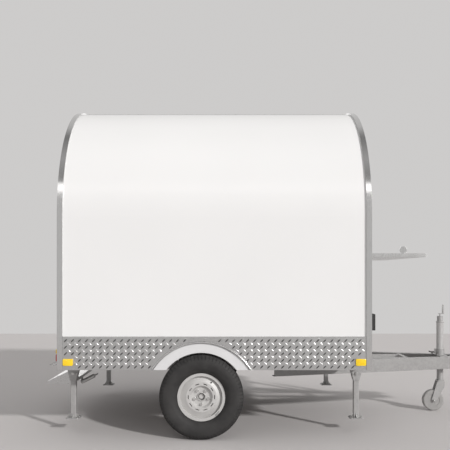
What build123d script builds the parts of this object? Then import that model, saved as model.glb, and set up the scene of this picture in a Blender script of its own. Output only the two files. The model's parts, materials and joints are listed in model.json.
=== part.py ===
from build123d import *
import os
from math import atan, cos, degrees, radians, sin, sqrt

# Food trailer, in millimetres. +X forwards (drawbar), +Y left, +Z up, floor at Z = 0.
# Every shape is drawn about the middle of the body; export() moves it to the row's origin,
# which is the middle of the overall length, on the centreline, on the floor.

# ---- Body shell ----
BODY_LENGTH = 2200.0        # over the two edge trims
BODY_WIDTH = 2000.0         # over the edge trims
BODY_TOP = 2476.0           # crown of the edge trims
CROWN_HALF = 85.0           # half-width of the flat crown between the rounded shoulders
TRIM_PROUD = 12.0           # how far an edge trim stands out of the panels
TRIM_WIDTH = 38.0           # leg of the trim's angle section, on the side and on the end
WALL = 30.0                 # sandwich panel
ROOF_SEAM = 270.0           # half-width of the roof panel
SHEET = 3.0                 # skirt, apron and wheel box sheet
SKIRT_BOTTOM = 487.0
SKIRT_TOP = 716.0
MOVING_GAP = 6.5            # gap round every door and hatch

# ---- Floor and chassis ----
FLOOR_BOTTOM = 548.0
FLOOR_THICKNESS = 40.0
RAIL_Y = 640.0              # centre of a main rail
RAIL_WIDTH = 40.0
RAIL_HEIGHT = 60.0
CROSS_WIDTH = 60.0
CROSS_HEIGHT = 40.0
CROSS_X = [-590.0, 430.0, 760.0]
SILL_WIDTH = 50.0
SILL_HEIGHT = 60.0
TUBE_WALL = 3.0

# ---- Wheels and axle ----
AXLE_X = -92.0
TYRE_RADIUS = 297.0
TYRE_WIDTH = 165.0
WHEEL_INSET = 50.5          # tyre centre plane, in from the edge trims
BEAD_RADIUS = 153.0
BEAD_HALF = 38.0
FLANGE_RADIUS = 168.0
FLANGE_THICKNESS = 5.0
RIM_WALL = 5.0
DISC_THICKNESS = 4.0
DISC_FACE = 12.0            # bolting face of the disc, outboard of the tyre centre plane
DISC_CROWN = 22.0           # how far the vented hump stands outboard of the bolting face
DISC_EDGE = 4.0             # how far the disc's edge stands outboard of the bolting face
NAVE_RADIUS = 66.0          # flat bolting face
CROWN_INNER = 80.0
CROWN_OUTER = 106.0
VENT_COUNT = 10
VENT_CIRCLE = 92.0
VENT_LENGTH = 29.0
VENT_WIDTH = 6.0
HUB_RADIUS = 45.0
HUB_FLANGE_RADIUS = 62.0
HUB_FLANGE = 10.0
HUB_LENGTH = 90.0
SPIGOT_RADIUS = 32.0        # hub spigot through the disc
SPIGOT_PROUD = 6.0
POCKET_RADIUS = 26.0        # grease cap pocket in the spigot
POCKET_DEPTH = 30.0
CAP_RADIUS = 19.0
CAP_HEIGHT = 16.0
SPINDLE_RADIUS = 14.0
SPINDLE_SHOULDER = 22.0
RUNNING_FIT = 0.05
FIT = 0.3
ARCH_RADIUS = 400.0
ARCH_Z = 275.0
BEAD_TUBE = 6.5             # radius of the rolled edge round a wheel arch
TUB_CLEARANCE = 2.0
TUB_DEPTH = 153.0           # from the skirt's outer face to the wheel box's inner plate
BEAM = 70.0
BEAM_END_INSET = 179.5      # end of the axle beam, in from the tyre centre plane
ARM_THICKNESS = 25.0
ARM_REACH = 130.0
ARM_HEIGHT = 50.0
ARM_END_RADIUS = 34.0

# ---- Drawbar, coupling and jockey wheel ----
DRAWBAR_TOP = 468.0
DRAWBAR_HEIGHT = 100.0
DRAWBAR_FLANGE = 50.0
DRAWBAR_SHEET = 5.0
DRAWBAR_REAR_X = 454.0
DRAWBAR_FRONT_Y = 344.0     # outer face of a rail where it leaves the body
DRAWBAR_SLOPE = 0.277
DRAWBAR_NOSE_Y = 30.0
RACK_BAR = 30.0
RACK_BAR_Y = 105.0
RACK_CROSS_AHEAD = 470.0
COUPLING_AHEAD = 1250.0     # ball centre, ahead of the body
BALL_RADIUS = 25.0
BALL_CLEARANCE = 0.3
SOCKET_WALL = 12.5
JOCKEY_AHEAD = 800.0
NOSE_PLATE = 8.0
NOSE_PLATE_LENGTH = 200.0
TAIL_LENGTH = 170.0         # coupling tail, back from the nose of the rails
TAIL_HALF = 30.0
TAIL_HEIGHT = 52.0
CLAMP_PLATE = 6.0
COLLAR_HEIGHT = 50.0
COLLAR_WALL = 6.0
JOCKEY_TUBE_RADIUS = 30.0
JOCKEY_TUBE_WALL = 3.0
JOCKEY_TUBE_BOTTOM = 363.0
JOCKEY_TUBE_TOP = 758.0
CRANK_HEAD = 42.0
CRANK_STEM = 18.0
CRANK_ARM = 6.0
CRANK_REACH = 26.0
CRANK_GRIP = 72.0
JOCKEY_WHEEL_RADIUS = 89.0
JOCKEY_WHEEL_WIDTH = 50.0
JOCKEY_TRAIL = 61.0
JOCKEY_PIN_RADIUS = 8.0
JOCKEY_HUB_RADIUS = 52.0
JOCKEY_RECESS = 3.0
FORK_TOP = 262.0
FORK_SHEET = 5.0
FORK_CROWN = 14.0
FORK_HALF = 31.0

# ---- Corner legs ----
LEG_SIZE = 40.0
LEG_Y = 722.5
LEG_REAR_INSET = 55.0       # pivot, in from the rear of the body
LEG_FRONT_INSET = 59.0
LEG_PIVOT_Z = 427.0
LEG_FOOT_Z = 95.0
LEG_PIN_RADIUS = 8.0
FOOT_SIZE = 100.0
FOOT_SHEET = 6.0
CHEEK = 4.0
CHEEK_GAP = 1.0
CHEEK_TIP_Z = 375.0
BRACKET_HALF = 42.0
BRACKET_WAIST = 55.0        # how far down a bracket keeps its full width
SPRING_RADIUS = 14.0        # locking spring beside each rear leg
SPRING_ROD_RADIUS = 6.0
SPRING_FOOT = (47.0, 353.0)     # ahead of the leg's pivot, above the floor
SPRING_HEAD = (145.0, 402.0)
STAY_PIN = (13.0, 386.0)
STAY_OUTLINE = [(3.0, 358.0), (25.0, 366.0), (195.0, 488.0), (195.0, 506.0), (27.0, 388.0), (3.0, 398.0)]

# ---- Openings, doors and shelves ----
DOOR_HALF = 345.0
DOOR_BOTTOM = 595.0
DOOR_TOP = 2203.0
DOOR_MARGIN = 5.0           # rear apron cut back round the door
DOOR_WINDOW_HALF = 190.0
DOOR_WINDOW_CORNER = 40.0
DOOR_WINDOW_BOTTOM = 1463.0
DOOR_WINDOW_TOP = 1863.0
GLASS = 5.0
HANDLE_INSET = 75.0
HANDLE_Z = 1213.0
HANDLE_ROSE = 8.0
HANDLE_REACH = 34.0
HANDLE_GRIP = 12.0
HANDLE_LENGTH = 110.0
HINGE_RADIUS = 7.0
HINGE_HALF = 45.0
FRONT_HATCH_HALF = 600.0
FRONT_HATCH_BOTTOM = 1348.0
FRONT_HATCH_TOP = 2178.0
RAIL_PROUD = 50.0
SHELF_TOP = 1313.0
SHELF_THICKNESS = 27.0
SHELF_GAP = 12.0            # between the front wall and the shelf
SHELF_REACH = 480.0
SHELF_HALF = 690.0
SHELF_SHEET = 1.5
SHELF_CORNER = 12.0
KNOB_RADIUS = 27.0
KNOB_THICKNESS = 12.0
KNOB_AHEAD = 310.0          # along the shelf
KNOB_Y = 652.0
SIDE_HATCH_HALF = 750.0
SIDE_HATCH_BOTTOM = 1213.0
SIDE_HATCH_ANGLE = 50.0     # top edge of the side hatch, in degrees up the shoulder
COUNTER_HALF = 700.0
COUNTER_DEPTH = 310.0
COUNTER_THICKNESS = 27.0
COUNTER_GAP = 5.0
COUNTER_DROP = 24.0         # under the side hatch
STEP_TOP = 357.0
STEP_THICKNESS = 22.0
STEP_REACH = 157.0          # behind the body
STEP_UNDER = 40.0           # under the body
STEP_HALF = 660.0
GUSSET = 4.0
GUSSET_RISE = 78.0

# ---- Lamps and fittings ----
LAMP_INSET = 140.0          # lamp centre, in from the edge trims
LAMP_WIDTH = 100.0
LAMP_BOTTOM = 533.0
LAMP_TOP = 623.0
LAMP_DEPTH = 42.0
MARKER_LENGTH = 76.0
MARKER_HEIGHT = 53.0
MARKER_DEPTH = 18.0
MARKER_Z = 543.0
INLET_INSET = 160.0
INLET_WIDTH = 100.0
INLET_BOTTOM = 755.0
INLET_TOP = 872.0
INLET_DEPTH = 60.0

# ---- Places worked out from the sizes above ----
HALF_LENGTH = BODY_LENGTH / 2
HALF_WIDTH = BODY_WIDTH / 2
SHOULDER_RADIUS = HALF_WIDTH - CROWN_HALF
SPRING_Z = BODY_TOP - SHOULDER_RADIUS
PANEL_Y = HALF_WIDTH - TRIM_PROUD
PANEL_X = HALF_LENGTH - TRIM_PROUD
LAMP_Y = HALF_WIDTH - LAMP_INSET
INLET_Y = INLET_INSET - HALF_WIDTH
LEG_REAR_X = LEG_REAR_INSET - HALF_LENGTH
LEG_FRONT_X = HALF_LENGTH - LEG_FRONT_INSET
INNER_Y = PANEL_Y - WALL
INNER_X = PANEL_X - WALL
SKIN_Y = PANEL_Y + SHEET
FLOOR_TOP = FLOOR_BOTTOM + FLOOR_THICKNESS
CROSS_BOTTOM = FLOOR_BOTTOM - CROSS_HEIGHT
RAIL_BOTTOM = CROSS_BOTTOM - RAIL_HEIGHT
AXLE_Z = TYRE_RADIUS
TUB_Y = SKIN_Y - TUB_DEPTH
TUB_RADIUS = ARCH_RADIUS - TUB_CLEARANCE
TRACK_Y = HALF_WIDTH - WHEEL_INSET
BEAM_HALF_LENGTH = TRACK_Y - BEAM_END_INSET
DISC_Y = TRACK_Y + DISC_FACE
HUB_FACE_Y = DISC_Y - DISC_THICKNESS
HUB_INNER_Y = HUB_FACE_Y - HUB_LENGTH
SPIGOT_END_Y = DISC_Y + SPIGOT_PROUD
POCKET_FLOOR_Y = SPIGOT_END_Y - POCKET_DEPTH
SPINDLE_END_Y = POCKET_FLOOR_Y - SPINDLE_RADIUS
DRAWBAR_BOTTOM = DRAWBAR_TOP - DRAWBAR_HEIGHT
NOSE_X = HALF_LENGTH + (DRAWBAR_FRONT_Y - DRAWBAR_NOSE_Y) / DRAWBAR_SLOPE
COUPLING_X = HALF_LENGTH + COUPLING_AHEAD
BALL_Z = DRAWBAR_TOP + NOSE_PLATE + BALL_RADIUS
JOCKEY_X = HALF_LENGTH + JOCKEY_AHEAD
HINGE_X = PANEL_X + HINGE_RADIUS
FRONT_END = COUPLING_X + BALL_RADIUS + SOCKET_WALL
REAR_END = -HALF_LENGTH - STEP_REACH
ORIGIN_X = (FRONT_END + REAR_END) / 2


def block(x0, x1, y0, y1, z0, z1):
    """A box between two corners."""
    size = Box(abs(x1 - x0), abs(y1 - y0), abs(z1 - z0))
    return Pos((x0 + x1) / 2, (y0 + y1) / 2, (z0 + z1) / 2) * size


def rod_x(y, z, radius, x0, x1):
    return extrude(Plane((x0, y, z), z_dir=(1, 0, 0)) * Circle(radius), amount=x1 - x0)


def rod_y(x, z, radius, y0, y1):
    return extrude(Plane((x, y0, z), z_dir=(0, 1, 0)) * Circle(radius), amount=y1 - y0)


def rod_z(x, y, radius, z0, z1):
    return Pos(x, y, (z0 + z1) / 2) * Cylinder(radius, z1 - z0)


def plate_xz(points, y0, y1):
    """A flat plate drawn by its corners in X and Z, from y0 to y1."""
    face = make_face(Polyline(*[(x, y0, z) for x, z in points], close=True))
    return extrude(face, amount=y1 - y0, dir=(0, 1, 0))


def plate_yz(points, x0, x1):
    face = make_face(Polyline(*[(x0, y, z) for y, z in points], close=True))
    return extrude(face, amount=x1 - x0, dir=(1, 0, 0))


def plate_xy(points, z0, z1):
    face = make_face(Polyline(*[(x, y, z0) for x, y in points], close=True))
    return extrude(face, amount=z1 - z0, dir=(0, 0, 1))


def tube_along_x(x0, x1, y0, y1, z0, z1):
    inner = block(x0 - 1, x1 + 1, y0 + TUBE_WALL, y1 - TUBE_WALL, z0 + TUBE_WALL, z1 - TUBE_WALL)
    return block(x0, x1, y0, y1, z0, z1) - inner


def tube_along_y(x0, x1, y0, y1, z0, z1):
    inner = block(x0 + TUBE_WALL, x1 - TUBE_WALL, y0 - 1, y1 + 1, z0 + TUBE_WALL, z1 - TUBE_WALL)
    return block(x0, x1, y0, y1, z0, z1) - inner


def other_side(shape):
    return mirror(shape, Plane.XZ)


def both_sides(shape):
    return shape + other_side(shape)


def arch(x0, x1, inset, bottom):
    """A length of the body's arched outline, drawn inset from the edge trims' outside."""
    half = HALF_WIDTH - inset
    radius = SHOULDER_RADIUS - inset
    top = BODY_TOP - inset
    bend = radius * sin(radians(45))
    right_mid = (-CROWN_HALF - bend, SPRING_Z + bend)
    left_mid = (CROWN_HALF + bend, SPRING_Z + bend)
    outline = [
        Line((-half, bottom), (-half, SPRING_Z)),
        ThreePointArc((-half, SPRING_Z), right_mid, (-CROWN_HALF, top)),
        Line((-CROWN_HALF, top), (CROWN_HALF, top)),
        ThreePointArc((CROWN_HALF, top), left_mid, (half, SPRING_Z)),
        Line((half, SPRING_Z), (half, bottom)),
        Line((half, bottom), (-half, bottom)),
    ]
    section = Plane((x0, 0, 0), x_dir=(0, 1, 0), z_dir=(1, 0, 0)) * make_face(outline)
    return extrude(section, amount=x1 - x0)


def shell():
    """The whole sandwich skin, from the right sill over the roof to the left sill."""
    outer = arch(-PANEL_X, PANEL_X, TRIM_PROUD, FLOOR_BOTTOM)
    return outer - arch(-PANEL_X - 1, PANEL_X + 1, TRIM_PROUD + WALL, FLOOR_BOTTOM - 10)


def wheel_arch_cut():
    return rod_y(AXLE_X, ARCH_Z, ARCH_RADIUS, -HALF_WIDTH - 10, -INNER_Y + 10)


def side_hatch_region(grow):
    """The wedge of the left shoulder that the side hatch fills, grown all round."""
    angle = radians(SIDE_HATCH_ANGLE)
    reach = 1.4 * SHOULDER_RADIUS
    lift_y = -grow * sin(angle)
    lift_z = grow * cos(angle)
    root = (CROWN_HALF + lift_y, SPRING_Z + lift_z)
    far = (root[0] + reach * cos(angle), root[1] + reach * sin(angle))
    low = SIDE_HATCH_BOTTOM - grow
    outside = HALF_WIDTH + 400
    corners = [root, far, (outside, far[1]), (outside, low), (root[0], low)]
    half = SIDE_HATCH_HALF + grow
    return plate_yz(corners, -half, half)


def shell_pieces():
    skin = shell()
    far = HALF_WIDTH + 50
    high = BODY_TOP + 50
    cut = wheel_arch_cut()
    right = (skin & block(-BODY_LENGTH, BODY_LENGTH, -far, -ROOF_SEAM, 0, high)) - cut
    left = (skin & block(-BODY_LENGTH, BODY_LENGTH, ROOF_SEAM, far, 0, high)) - other_side(cut)
    roof = skin & block(-BODY_LENGTH, BODY_LENGTH, -ROOF_SEAM, ROOF_SEAM, SPRING_Z, high)
    hatch = left & side_hatch_region(-MOVING_GAP)
    left = left - side_hatch_region(0)
    return right, left, roof, hatch


def door_window(x0, x1):
    """The rear door's window shape, with rounded corners, from x0 to x1."""
    middle = (DOOR_WINDOW_BOTTOM + DOOR_WINDOW_TOP) / 2
    height = DOOR_WINDOW_TOP - DOOR_WINDOW_BOTTOM
    plane = Plane((x0, 0, middle), x_dir=(0, 1, 0), z_dir=(1, 0, 0))
    return extrude(plane * RectangleRounded(2 * DOOR_WINDOW_HALF, height, DOOR_WINDOW_CORNER), amount=x1 - x0)


def front_wall():
    wall = arch(INNER_X, PANEL_X, TRIM_PROUD + WALL, FLOOR_BOTTOM)
    hole = block(INNER_X - 5, PANEL_X + 5, -FRONT_HATCH_HALF, FRONT_HATCH_HALF,
                 FRONT_HATCH_BOTTOM, FRONT_HATCH_TOP)
    return wall - hole


def rear_wall():
    wall = arch(-PANEL_X, -INNER_X, TRIM_PROUD + WALL, FLOOR_BOTTOM)
    hole = block(-PANEL_X - 5, -INNER_X + 5, -DOOR_HALF, DOOR_HALF, DOOR_BOTTOM, DOOR_TOP)
    return wall - hole


def edge_trim(side):
    """Angle trim over a front or rear edge; side is 1 at the front and -1 at the rear."""
    x_in = HALF_LENGTH - TRIM_WIDTH
    ring = arch(x_in, HALF_LENGTH, 0, SKIRT_BOTTOM)
    ring = ring - arch(x_in - 1, PANEL_X, TRIM_PROUD, SKIRT_BOTTOM - 10)
    ring = ring - arch(PANEL_X, HALF_LENGTH + 1, TRIM_PROUD + TRIM_WIDTH, SKIRT_BOTTOM - 10)
    if side < 0:
        return mirror(ring, Plane.YZ)
    return ring


def skirt():
    x_end = HALF_LENGTH - TRIM_WIDTH
    sheet = block(-x_end, x_end, -SKIN_Y, -PANEL_Y, SKIRT_BOTTOM, SKIRT_TOP)
    return sheet - wheel_arch_cut()


def front_apron():
    half = HALF_WIDTH - TRIM_PROUD - TRIM_WIDTH
    return block(PANEL_X, PANEL_X + SHEET, -half, half, SKIRT_BOTTOM, SKIRT_TOP)


def rear_apron():
    half = HALF_WIDTH - TRIM_PROUD - TRIM_WIDTH
    sheet = block(-PANEL_X - SHEET, -PANEL_X, -half, half, SKIRT_BOTTOM, SKIRT_TOP)
    half = DOOR_HALF + DOOR_MARGIN
    notch = block(-PANEL_X - 10, -PANEL_X + 10, -half, half, DOOR_BOTTOM - DOOR_MARGIN, SKIRT_TOP + 10)
    return sheet - notch


def arch_bead():
    """Rolled edge round the right wheel arch."""
    ring = Rot(90, 0, 0) * Torus(ARCH_RADIUS + BEAD_TUBE, BEAD_TUBE)
    ring = Pos(AXLE_X, -SKIN_Y - BEAD_TUBE, ARCH_Z) * ring
    reach = ARCH_RADIUS + 3 * BEAD_TUBE
    return ring & block(AXLE_X - reach, AXLE_X + reach, -HALF_WIDTH - 40, 0, SKIRT_BOTTOM, ARCH_Z + reach)


def wheel_tub():
    """Wheel box over the right wheel: a curved sheet closed by an inner plate."""
    hoop = rod_y(AXLE_X, ARCH_Z, TUB_RADIUS, -SKIN_Y, -TUB_Y)
    hoop = hoop - rod_y(AXLE_X, ARCH_Z, TUB_RADIUS - SHEET, -SKIN_Y - 1, -TUB_Y - SHEET)
    high = ARCH_Z + ARCH_RADIUS + 10
    keep_hoop = block(AXLE_X - 500, AXLE_X + 500, -SKIN_Y - 1, -TUB_Y - SHEET, SKIRT_BOTTOM, high)
    keep_plate = block(AXLE_X - 500, AXLE_X + 500, -TUB_Y - SHEET, -TUB_Y + 1, FLOOR_BOTTOM, high)
    return hoop & (keep_hoop + keep_plate)


def floor_panel():
    panel = block(-INNER_X, INNER_X, -INNER_Y, INNER_Y, FLOOR_BOTTOM, FLOOR_TOP)
    recess = rod_y(AXLE_X, ARCH_Z, ARCH_RADIUS, -INNER_Y - 5, -TUB_Y + TUB_CLEARANCE)
    return panel - recess - other_side(recess)


def chassis_rails():
    rail = tube_along_x(-PANEL_X, PANEL_X, -RAIL_Y - RAIL_WIDTH / 2, -RAIL_Y + RAIL_WIDTH / 2,
                        RAIL_BOTTOM, CROSS_BOTTOM)
    return both_sides(rail)


def cross_members():
    """Tubes across the chassis: full-width ones on the rails, short ones over the drawbar."""
    end_y = PANEL_Y - SILL_WIDTH
    ends = [-PANEL_X + CROSS_WIDTH / 2, PANEL_X - CROSS_WIDTH / 2]
    members = Part()
    half = CROSS_WIDTH / 2
    for x in ends + CROSS_X:
        members += tube_along_y(x - half, x + half, -end_y, end_y, CROSS_BOTTOM, FLOOR_BOTTOM)
    return members


def drawbar_supports():
    """Short tubes between the rails that carry the rear half of the drawbar."""
    end_y = RAIL_Y - RAIL_WIDTH / 2
    supports = Part()
    half = CROSS_WIDTH / 2
    for x in [DRAWBAR_REAR_X + CROSS_WIDTH, PANEL_X - half]:
        supports += tube_along_y(x - half, x + half, -end_y, end_y, DRAWBAR_TOP, CROSS_BOTTOM)
    return supports


def side_sills():
    """Perimeter tubes under the side walls, broken at the wheel arches."""
    clear = ARCH_RADIUS - 55
    low = FLOOR_BOTTOM - SILL_HEIGHT
    y0 = -PANEL_Y
    y1 = -PANEL_Y + SILL_WIDTH
    rear = tube_along_x(-PANEL_X, AXLE_X - clear, y0, y1, low, FLOOR_BOTTOM)
    front = tube_along_x(AXLE_X + clear, PANEL_X, y0, y1, low, FLOOR_BOTTOM)
    return both_sides(rear) + both_sides(front)


def axle_beam():
    """Torsion axle tube across the underside of the rails."""
    x = AXLE_X + ARM_REACH
    low = RAIL_BOTTOM - BEAM
    end = BEAM_HALF_LENGTH
    return tube_along_y(x - BEAM / 2, x + BEAM / 2, -end, end, low, RAIL_BOTTOM)


def trailing_arm():
    """Right swing arm with the stub axle that carries the wheel."""
    x = AXLE_X + ARM_REACH
    z = RAIL_BOTTOM - BEAM / 2
    y_in = -BEAM_HALF_LENGTH
    y_out = y_in - ARM_THICKNESS
    slope = degrees(atan((z - AXLE_Z) / ARM_REACH))
    length = sqrt((z - AXLE_Z) ** 2 + ARM_REACH ** 2)
    bar = Pos((x + AXLE_X) / 2, (y_in + y_out) / 2, (z + AXLE_Z) / 2)
    bar = bar * Rot(0, -slope, 0) * Box(length, ARM_THICKNESS, ARM_HEIGHT)
    arm = bar + rod_y(x, z, ARM_END_RADIUS, y_out, y_in)
    arm += rod_y(AXLE_X, AXLE_Z, ARM_END_RADIUS, y_out, y_in)
    shoulder = rod_y(AXLE_X, AXLE_Z, SPINDLE_SHOULDER, -HUB_INNER_Y + MOVING_GAP, y_out)
    spindle = rod_y(AXLE_X, AXLE_Z, SPINDLE_RADIUS, -SPINDLE_END_Y, y_out)
    return arm + shoulder + spindle


def hub():
    """Right hub: drum, bolting flange, and a spigot with the grease cap in its pocket."""
    body = rod_y(AXLE_X, AXLE_Z, HUB_RADIUS, -HUB_FACE_Y, -HUB_INNER_Y)
    flange = rod_y(AXLE_X, AXLE_Z, HUB_FLANGE_RADIUS, -HUB_FACE_Y, -HUB_FACE_Y + HUB_FLANGE)
    spigot = rod_y(AXLE_X, AXLE_Z, SPIGOT_RADIUS, -SPIGOT_END_Y, -HUB_FACE_Y)
    spigot = fillet(spigot.edges().filter_by(GeomType.CIRCLE).sort_by(Axis.Y)[0], SPIGOT_PROUD / 3)
    pocket = rod_y(AXLE_X, AXLE_Z, POCKET_RADIUS, -SPIGOT_END_Y - 1, -POCKET_FLOOR_Y)
    cap = rod_y(AXLE_X, AXLE_Z, CAP_RADIUS, -POCKET_FLOOR_Y - CAP_HEIGHT, -POCKET_FLOOR_Y)
    cap = fillet(cap.edges().filter_by(GeomType.CIRCLE).sort_by(Axis.Y)[0], CAP_HEIGHT / 3)
    bore = rod_y(AXLE_X, AXLE_Z, SPINDLE_RADIUS + RUNNING_FIT, -SPINDLE_END_Y - 2, -HUB_INNER_Y + 1)
    return body + flange + spigot - pocket + cap - bore


def revolved_about_axle(points):
    """A ring drawn by radius and by distance outboard of the tyre centre plane."""
    corners = [(AXLE_X, -TRACK_Y - out, AXLE_Z + r) for r, out in points]
    face = make_face(Polyline(*corners, close=True))
    return revolve(face, Axis((AXLE_X, 0, AXLE_Z), (0, 1, 0)), 360)


def disc_line(thickness):
    """Half section of the wheel disc, from its bore to the barrel, on one face."""
    face = DISC_FACE - thickness
    crown = face + DISC_CROWN
    edge = BEAD_RADIUS - RIM_WALL
    bore = SPIGOT_RADIUS + FIT
    return [(bore, face), (NAVE_RADIUS, face), (CROWN_INNER, crown), (CROWN_OUTER, crown),
            (edge, face + DISC_EDGE)]


def rim():
    """Right rim: barrel with two flanges and a dished, vented disc."""
    inner = BEAD_RADIUS - RIM_WALL
    lip = BEAD_HALF + FLANGE_THICKNESS
    barrel = revolved_about_axle([
        (inner, -lip), (FLANGE_RADIUS, -lip), (FLANGE_RADIUS, -BEAD_HALF), (BEAD_RADIUS, -BEAD_HALF),
        (BEAD_RADIUS, BEAD_HALF), (FLANGE_RADIUS, BEAD_HALF), (FLANGE_RADIUS, lip), (inner, lip)])
    disc = revolved_about_axle(disc_line(0) + disc_line(DISC_THICKNESS)[::-1])
    through = DISC_CROWN + DISC_THICKNESS + 2
    for index in range(VENT_COUNT):
        angle = 360 / VENT_COUNT * (index + 0.5)
        plane = Plane((AXLE_X, -HUB_FACE_Y + 1, AXLE_Z), x_dir=(1, 0, 0), z_dir=(0, -1, 0))
        slot = Rot(0, 0, angle) * (Pos(0, VENT_CIRCLE) * SlotOverall(VENT_LENGTH, VENT_WIDTH))
        disc = disc - extrude(plane * slot, amount=through)
    return barrel + disc


def tyre():
    """Right tyre: rounded tread and deep sidewalls that bulge past the rim."""
    half = TYRE_WIDTH / 2
    bead = BEAD_RADIUS + FIT
    face_in = BEAD_HALF - FIT
    crown = TYRE_RADIUS
    height = TYRE_RADIUS - BEAD_RADIUS
    lip = FLANGE_RADIUS + FIT

    def at(r, out):
        return (AXLE_X, -TRACK_Y - out, AXLE_Z + r)

    outline = []
    for side in (1, -1):
        bulge = (lip + 0.43 * height, side * half)
        low = (lip + 0.08 * height, side * 0.86 * half)
        shoulder = (crown - 0.12 * height, side * 0.86 * half)
        edge = (crown - 0.014 * height, side * 0.56 * half)
        outline.append(Line(at(bead, side * face_in), at(lip, side * face_in)))
        outline.append(Line(at(lip, side * face_in), at(*low)))
        flank = (lip + 0.2 * height, side * 0.97 * half)
        rib = (crown - 0.05 * height, side * 0.74 * half)
        outline.append(Spline(at(*low), at(*flank), at(*bulge), at(*shoulder)))
        outline.append(Spline(at(*shoulder), at(*rib), at(*edge)))
    flat = 0.56 * half
    edge_r = crown - 0.014 * height
    outline.append(ThreePointArc(at(edge_r, flat), at(crown, 0), at(edge_r, -flat)))
    outline.append(Line(at(bead, face_in), at(bead, -face_in)))
    return revolve(make_face(outline), Axis((AXLE_X, 0, AXLE_Z), (0, 1, 0)), 360)


def rail_y_at(x):
    """How far out the outer face of a drawbar rail is at x."""
    return DRAWBAR_FRONT_Y - DRAWBAR_SLOPE * (x - HALF_LENGTH)


def drawbar_rail():
    """Right drawbar channel, open inwards, mitred on the centreline at the nose."""
    angle = atan(DRAWBAR_SLOPE)
    rear = DRAWBAR_REAR_X
    rear_y = rail_y_at(rear)
    length = (NOSE_X - rear) / cos(angle) + 60
    channel = block(0, length, 0, DRAWBAR_FLANGE, DRAWBAR_BOTTOM, DRAWBAR_TOP)
    hollow = block(-1, length + 1, DRAWBAR_SHEET, DRAWBAR_FLANGE + 1,
                   DRAWBAR_BOTTOM + DRAWBAR_SHEET, DRAWBAR_TOP - DRAWBAR_SHEET)
    channel = Pos(rear, -rear_y, 0) * Rot(0, 0, degrees(angle)) * (channel - hollow)
    return channel & block(rear - 100, NOSE_X, -1000, -0.25, 0, 1000)


def drawbar_rack():
    """Cross bar between the rails with two bars back to the body."""
    x = HALF_LENGTH + RACK_CROSS_AHEAD
    low = DRAWBAR_TOP - DRAWBAR_SHEET - RACK_BAR
    high = DRAWBAR_TOP - DRAWBAR_SHEET
    inside = rail_y_at(x + RACK_BAR) - DRAWBAR_SHEET / cos(atan(DRAWBAR_SLOPE)) - 1
    rack = block(x, x + RACK_BAR, -inside, inside, low, high)
    for side in (-1, 1):
        y = side * RACK_BAR_Y
        rack += block(PANEL_X, x, y - RACK_BAR / 2, y + RACK_BAR / 2, low, high)
    return rack


def nose_plate():
    rear_x = NOSE_X - NOSE_PLATE_LENGTH
    rear_y = rail_y_at(rear_x)
    corners = [(rear_x, -rear_y), (rear_x, rear_y), (NOSE_X, DRAWBAR_NOSE_Y), (NOSE_X, -DRAWBAR_NOSE_Y)]
    return plate_xy(corners, DRAWBAR_TOP, DRAWBAR_TOP + NOSE_PLATE)


def coupling_head():
    """Ball coupling: a tail bolted to the nose plate and a socket open downwards."""
    low = DRAWBAR_TOP + NOSE_PLATE
    outer = BALL_RADIUS + SOCKET_WALL
    tail = block(NOSE_X - TAIL_LENGTH, COUPLING_X, -TAIL_HALF, TAIL_HALF, low, low + TAIL_HEIGHT)
    tail = fillet(tail.edges().filter_by(Axis.X).group_by(Axis.Z)[-1], TAIL_HALF / 2)
    socket = rod_z(COUPLING_X, 0, outer, low, BALL_Z) + Pos(COUPLING_X, 0, BALL_Z) * Sphere(outer)
    reach = outer + 10
    socket = socket & block(COUPLING_X - reach, COUPLING_X + reach, -reach, reach, low, BALL_Z + outer)
    hollow_radius = BALL_RADIUS + BALL_CLEARANCE
    hollow = Pos(COUPLING_X, 0, BALL_Z) * Sphere(hollow_radius)
    hollow = hollow + rod_z(COUPLING_X, 0, hollow_radius, low - 10, BALL_Z)
    return tail + socket - hollow


def coupling_lever():
    z = DRAWBAR_TOP + NOSE_PLATE + TAIL_HEIGHT
    post = block(COUPLING_X - 150, COUPLING_X - 125, -8, 8, z, z + 22)
    grip = block(COUPLING_X - 150, COUPLING_X - 30, -12, 12, z + 22, z + 34)
    return post + fillet(grip.edges().filter_by(Axis.Z), 8)


def jockey_clamp():
    """Plate over both rails with a split collar that holds the jockey tube."""
    half = rail_y_at(JOCKEY_X)
    low = DRAWBAR_TOP + CLAMP_PLATE
    high = low + COLLAR_HEIGHT
    outer = JOCKEY_TUBE_RADIUS + COLLAR_WALL
    plate = block(JOCKEY_X - outer, JOCKEY_X + outer, -half, half, DRAWBAR_TOP, low)
    collar = rod_z(JOCKEY_X, 0, outer, low, high)
    lug = block(JOCKEY_X - outer - 12, JOCKEY_X - JOCKEY_TUBE_RADIUS, -8, 8, low, high)
    hole = rod_z(JOCKEY_X, 0, JOCKEY_TUBE_RADIUS + FIT, DRAWBAR_TOP - 1, high + 1)
    return plate + collar + lug - hole


def jockey_outer_tube():
    tube = rod_z(JOCKEY_X, 0, JOCKEY_TUBE_RADIUS, JOCKEY_TUBE_BOTTOM, JOCKEY_TUBE_TOP)
    inside = JOCKEY_TUBE_RADIUS - JOCKEY_TUBE_WALL
    bore = rod_z(JOCKEY_X, 0, inside, JOCKEY_TUBE_BOTTOM - 1, JOCKEY_TUBE_TOP - 8)
    return tube - bore


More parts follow.
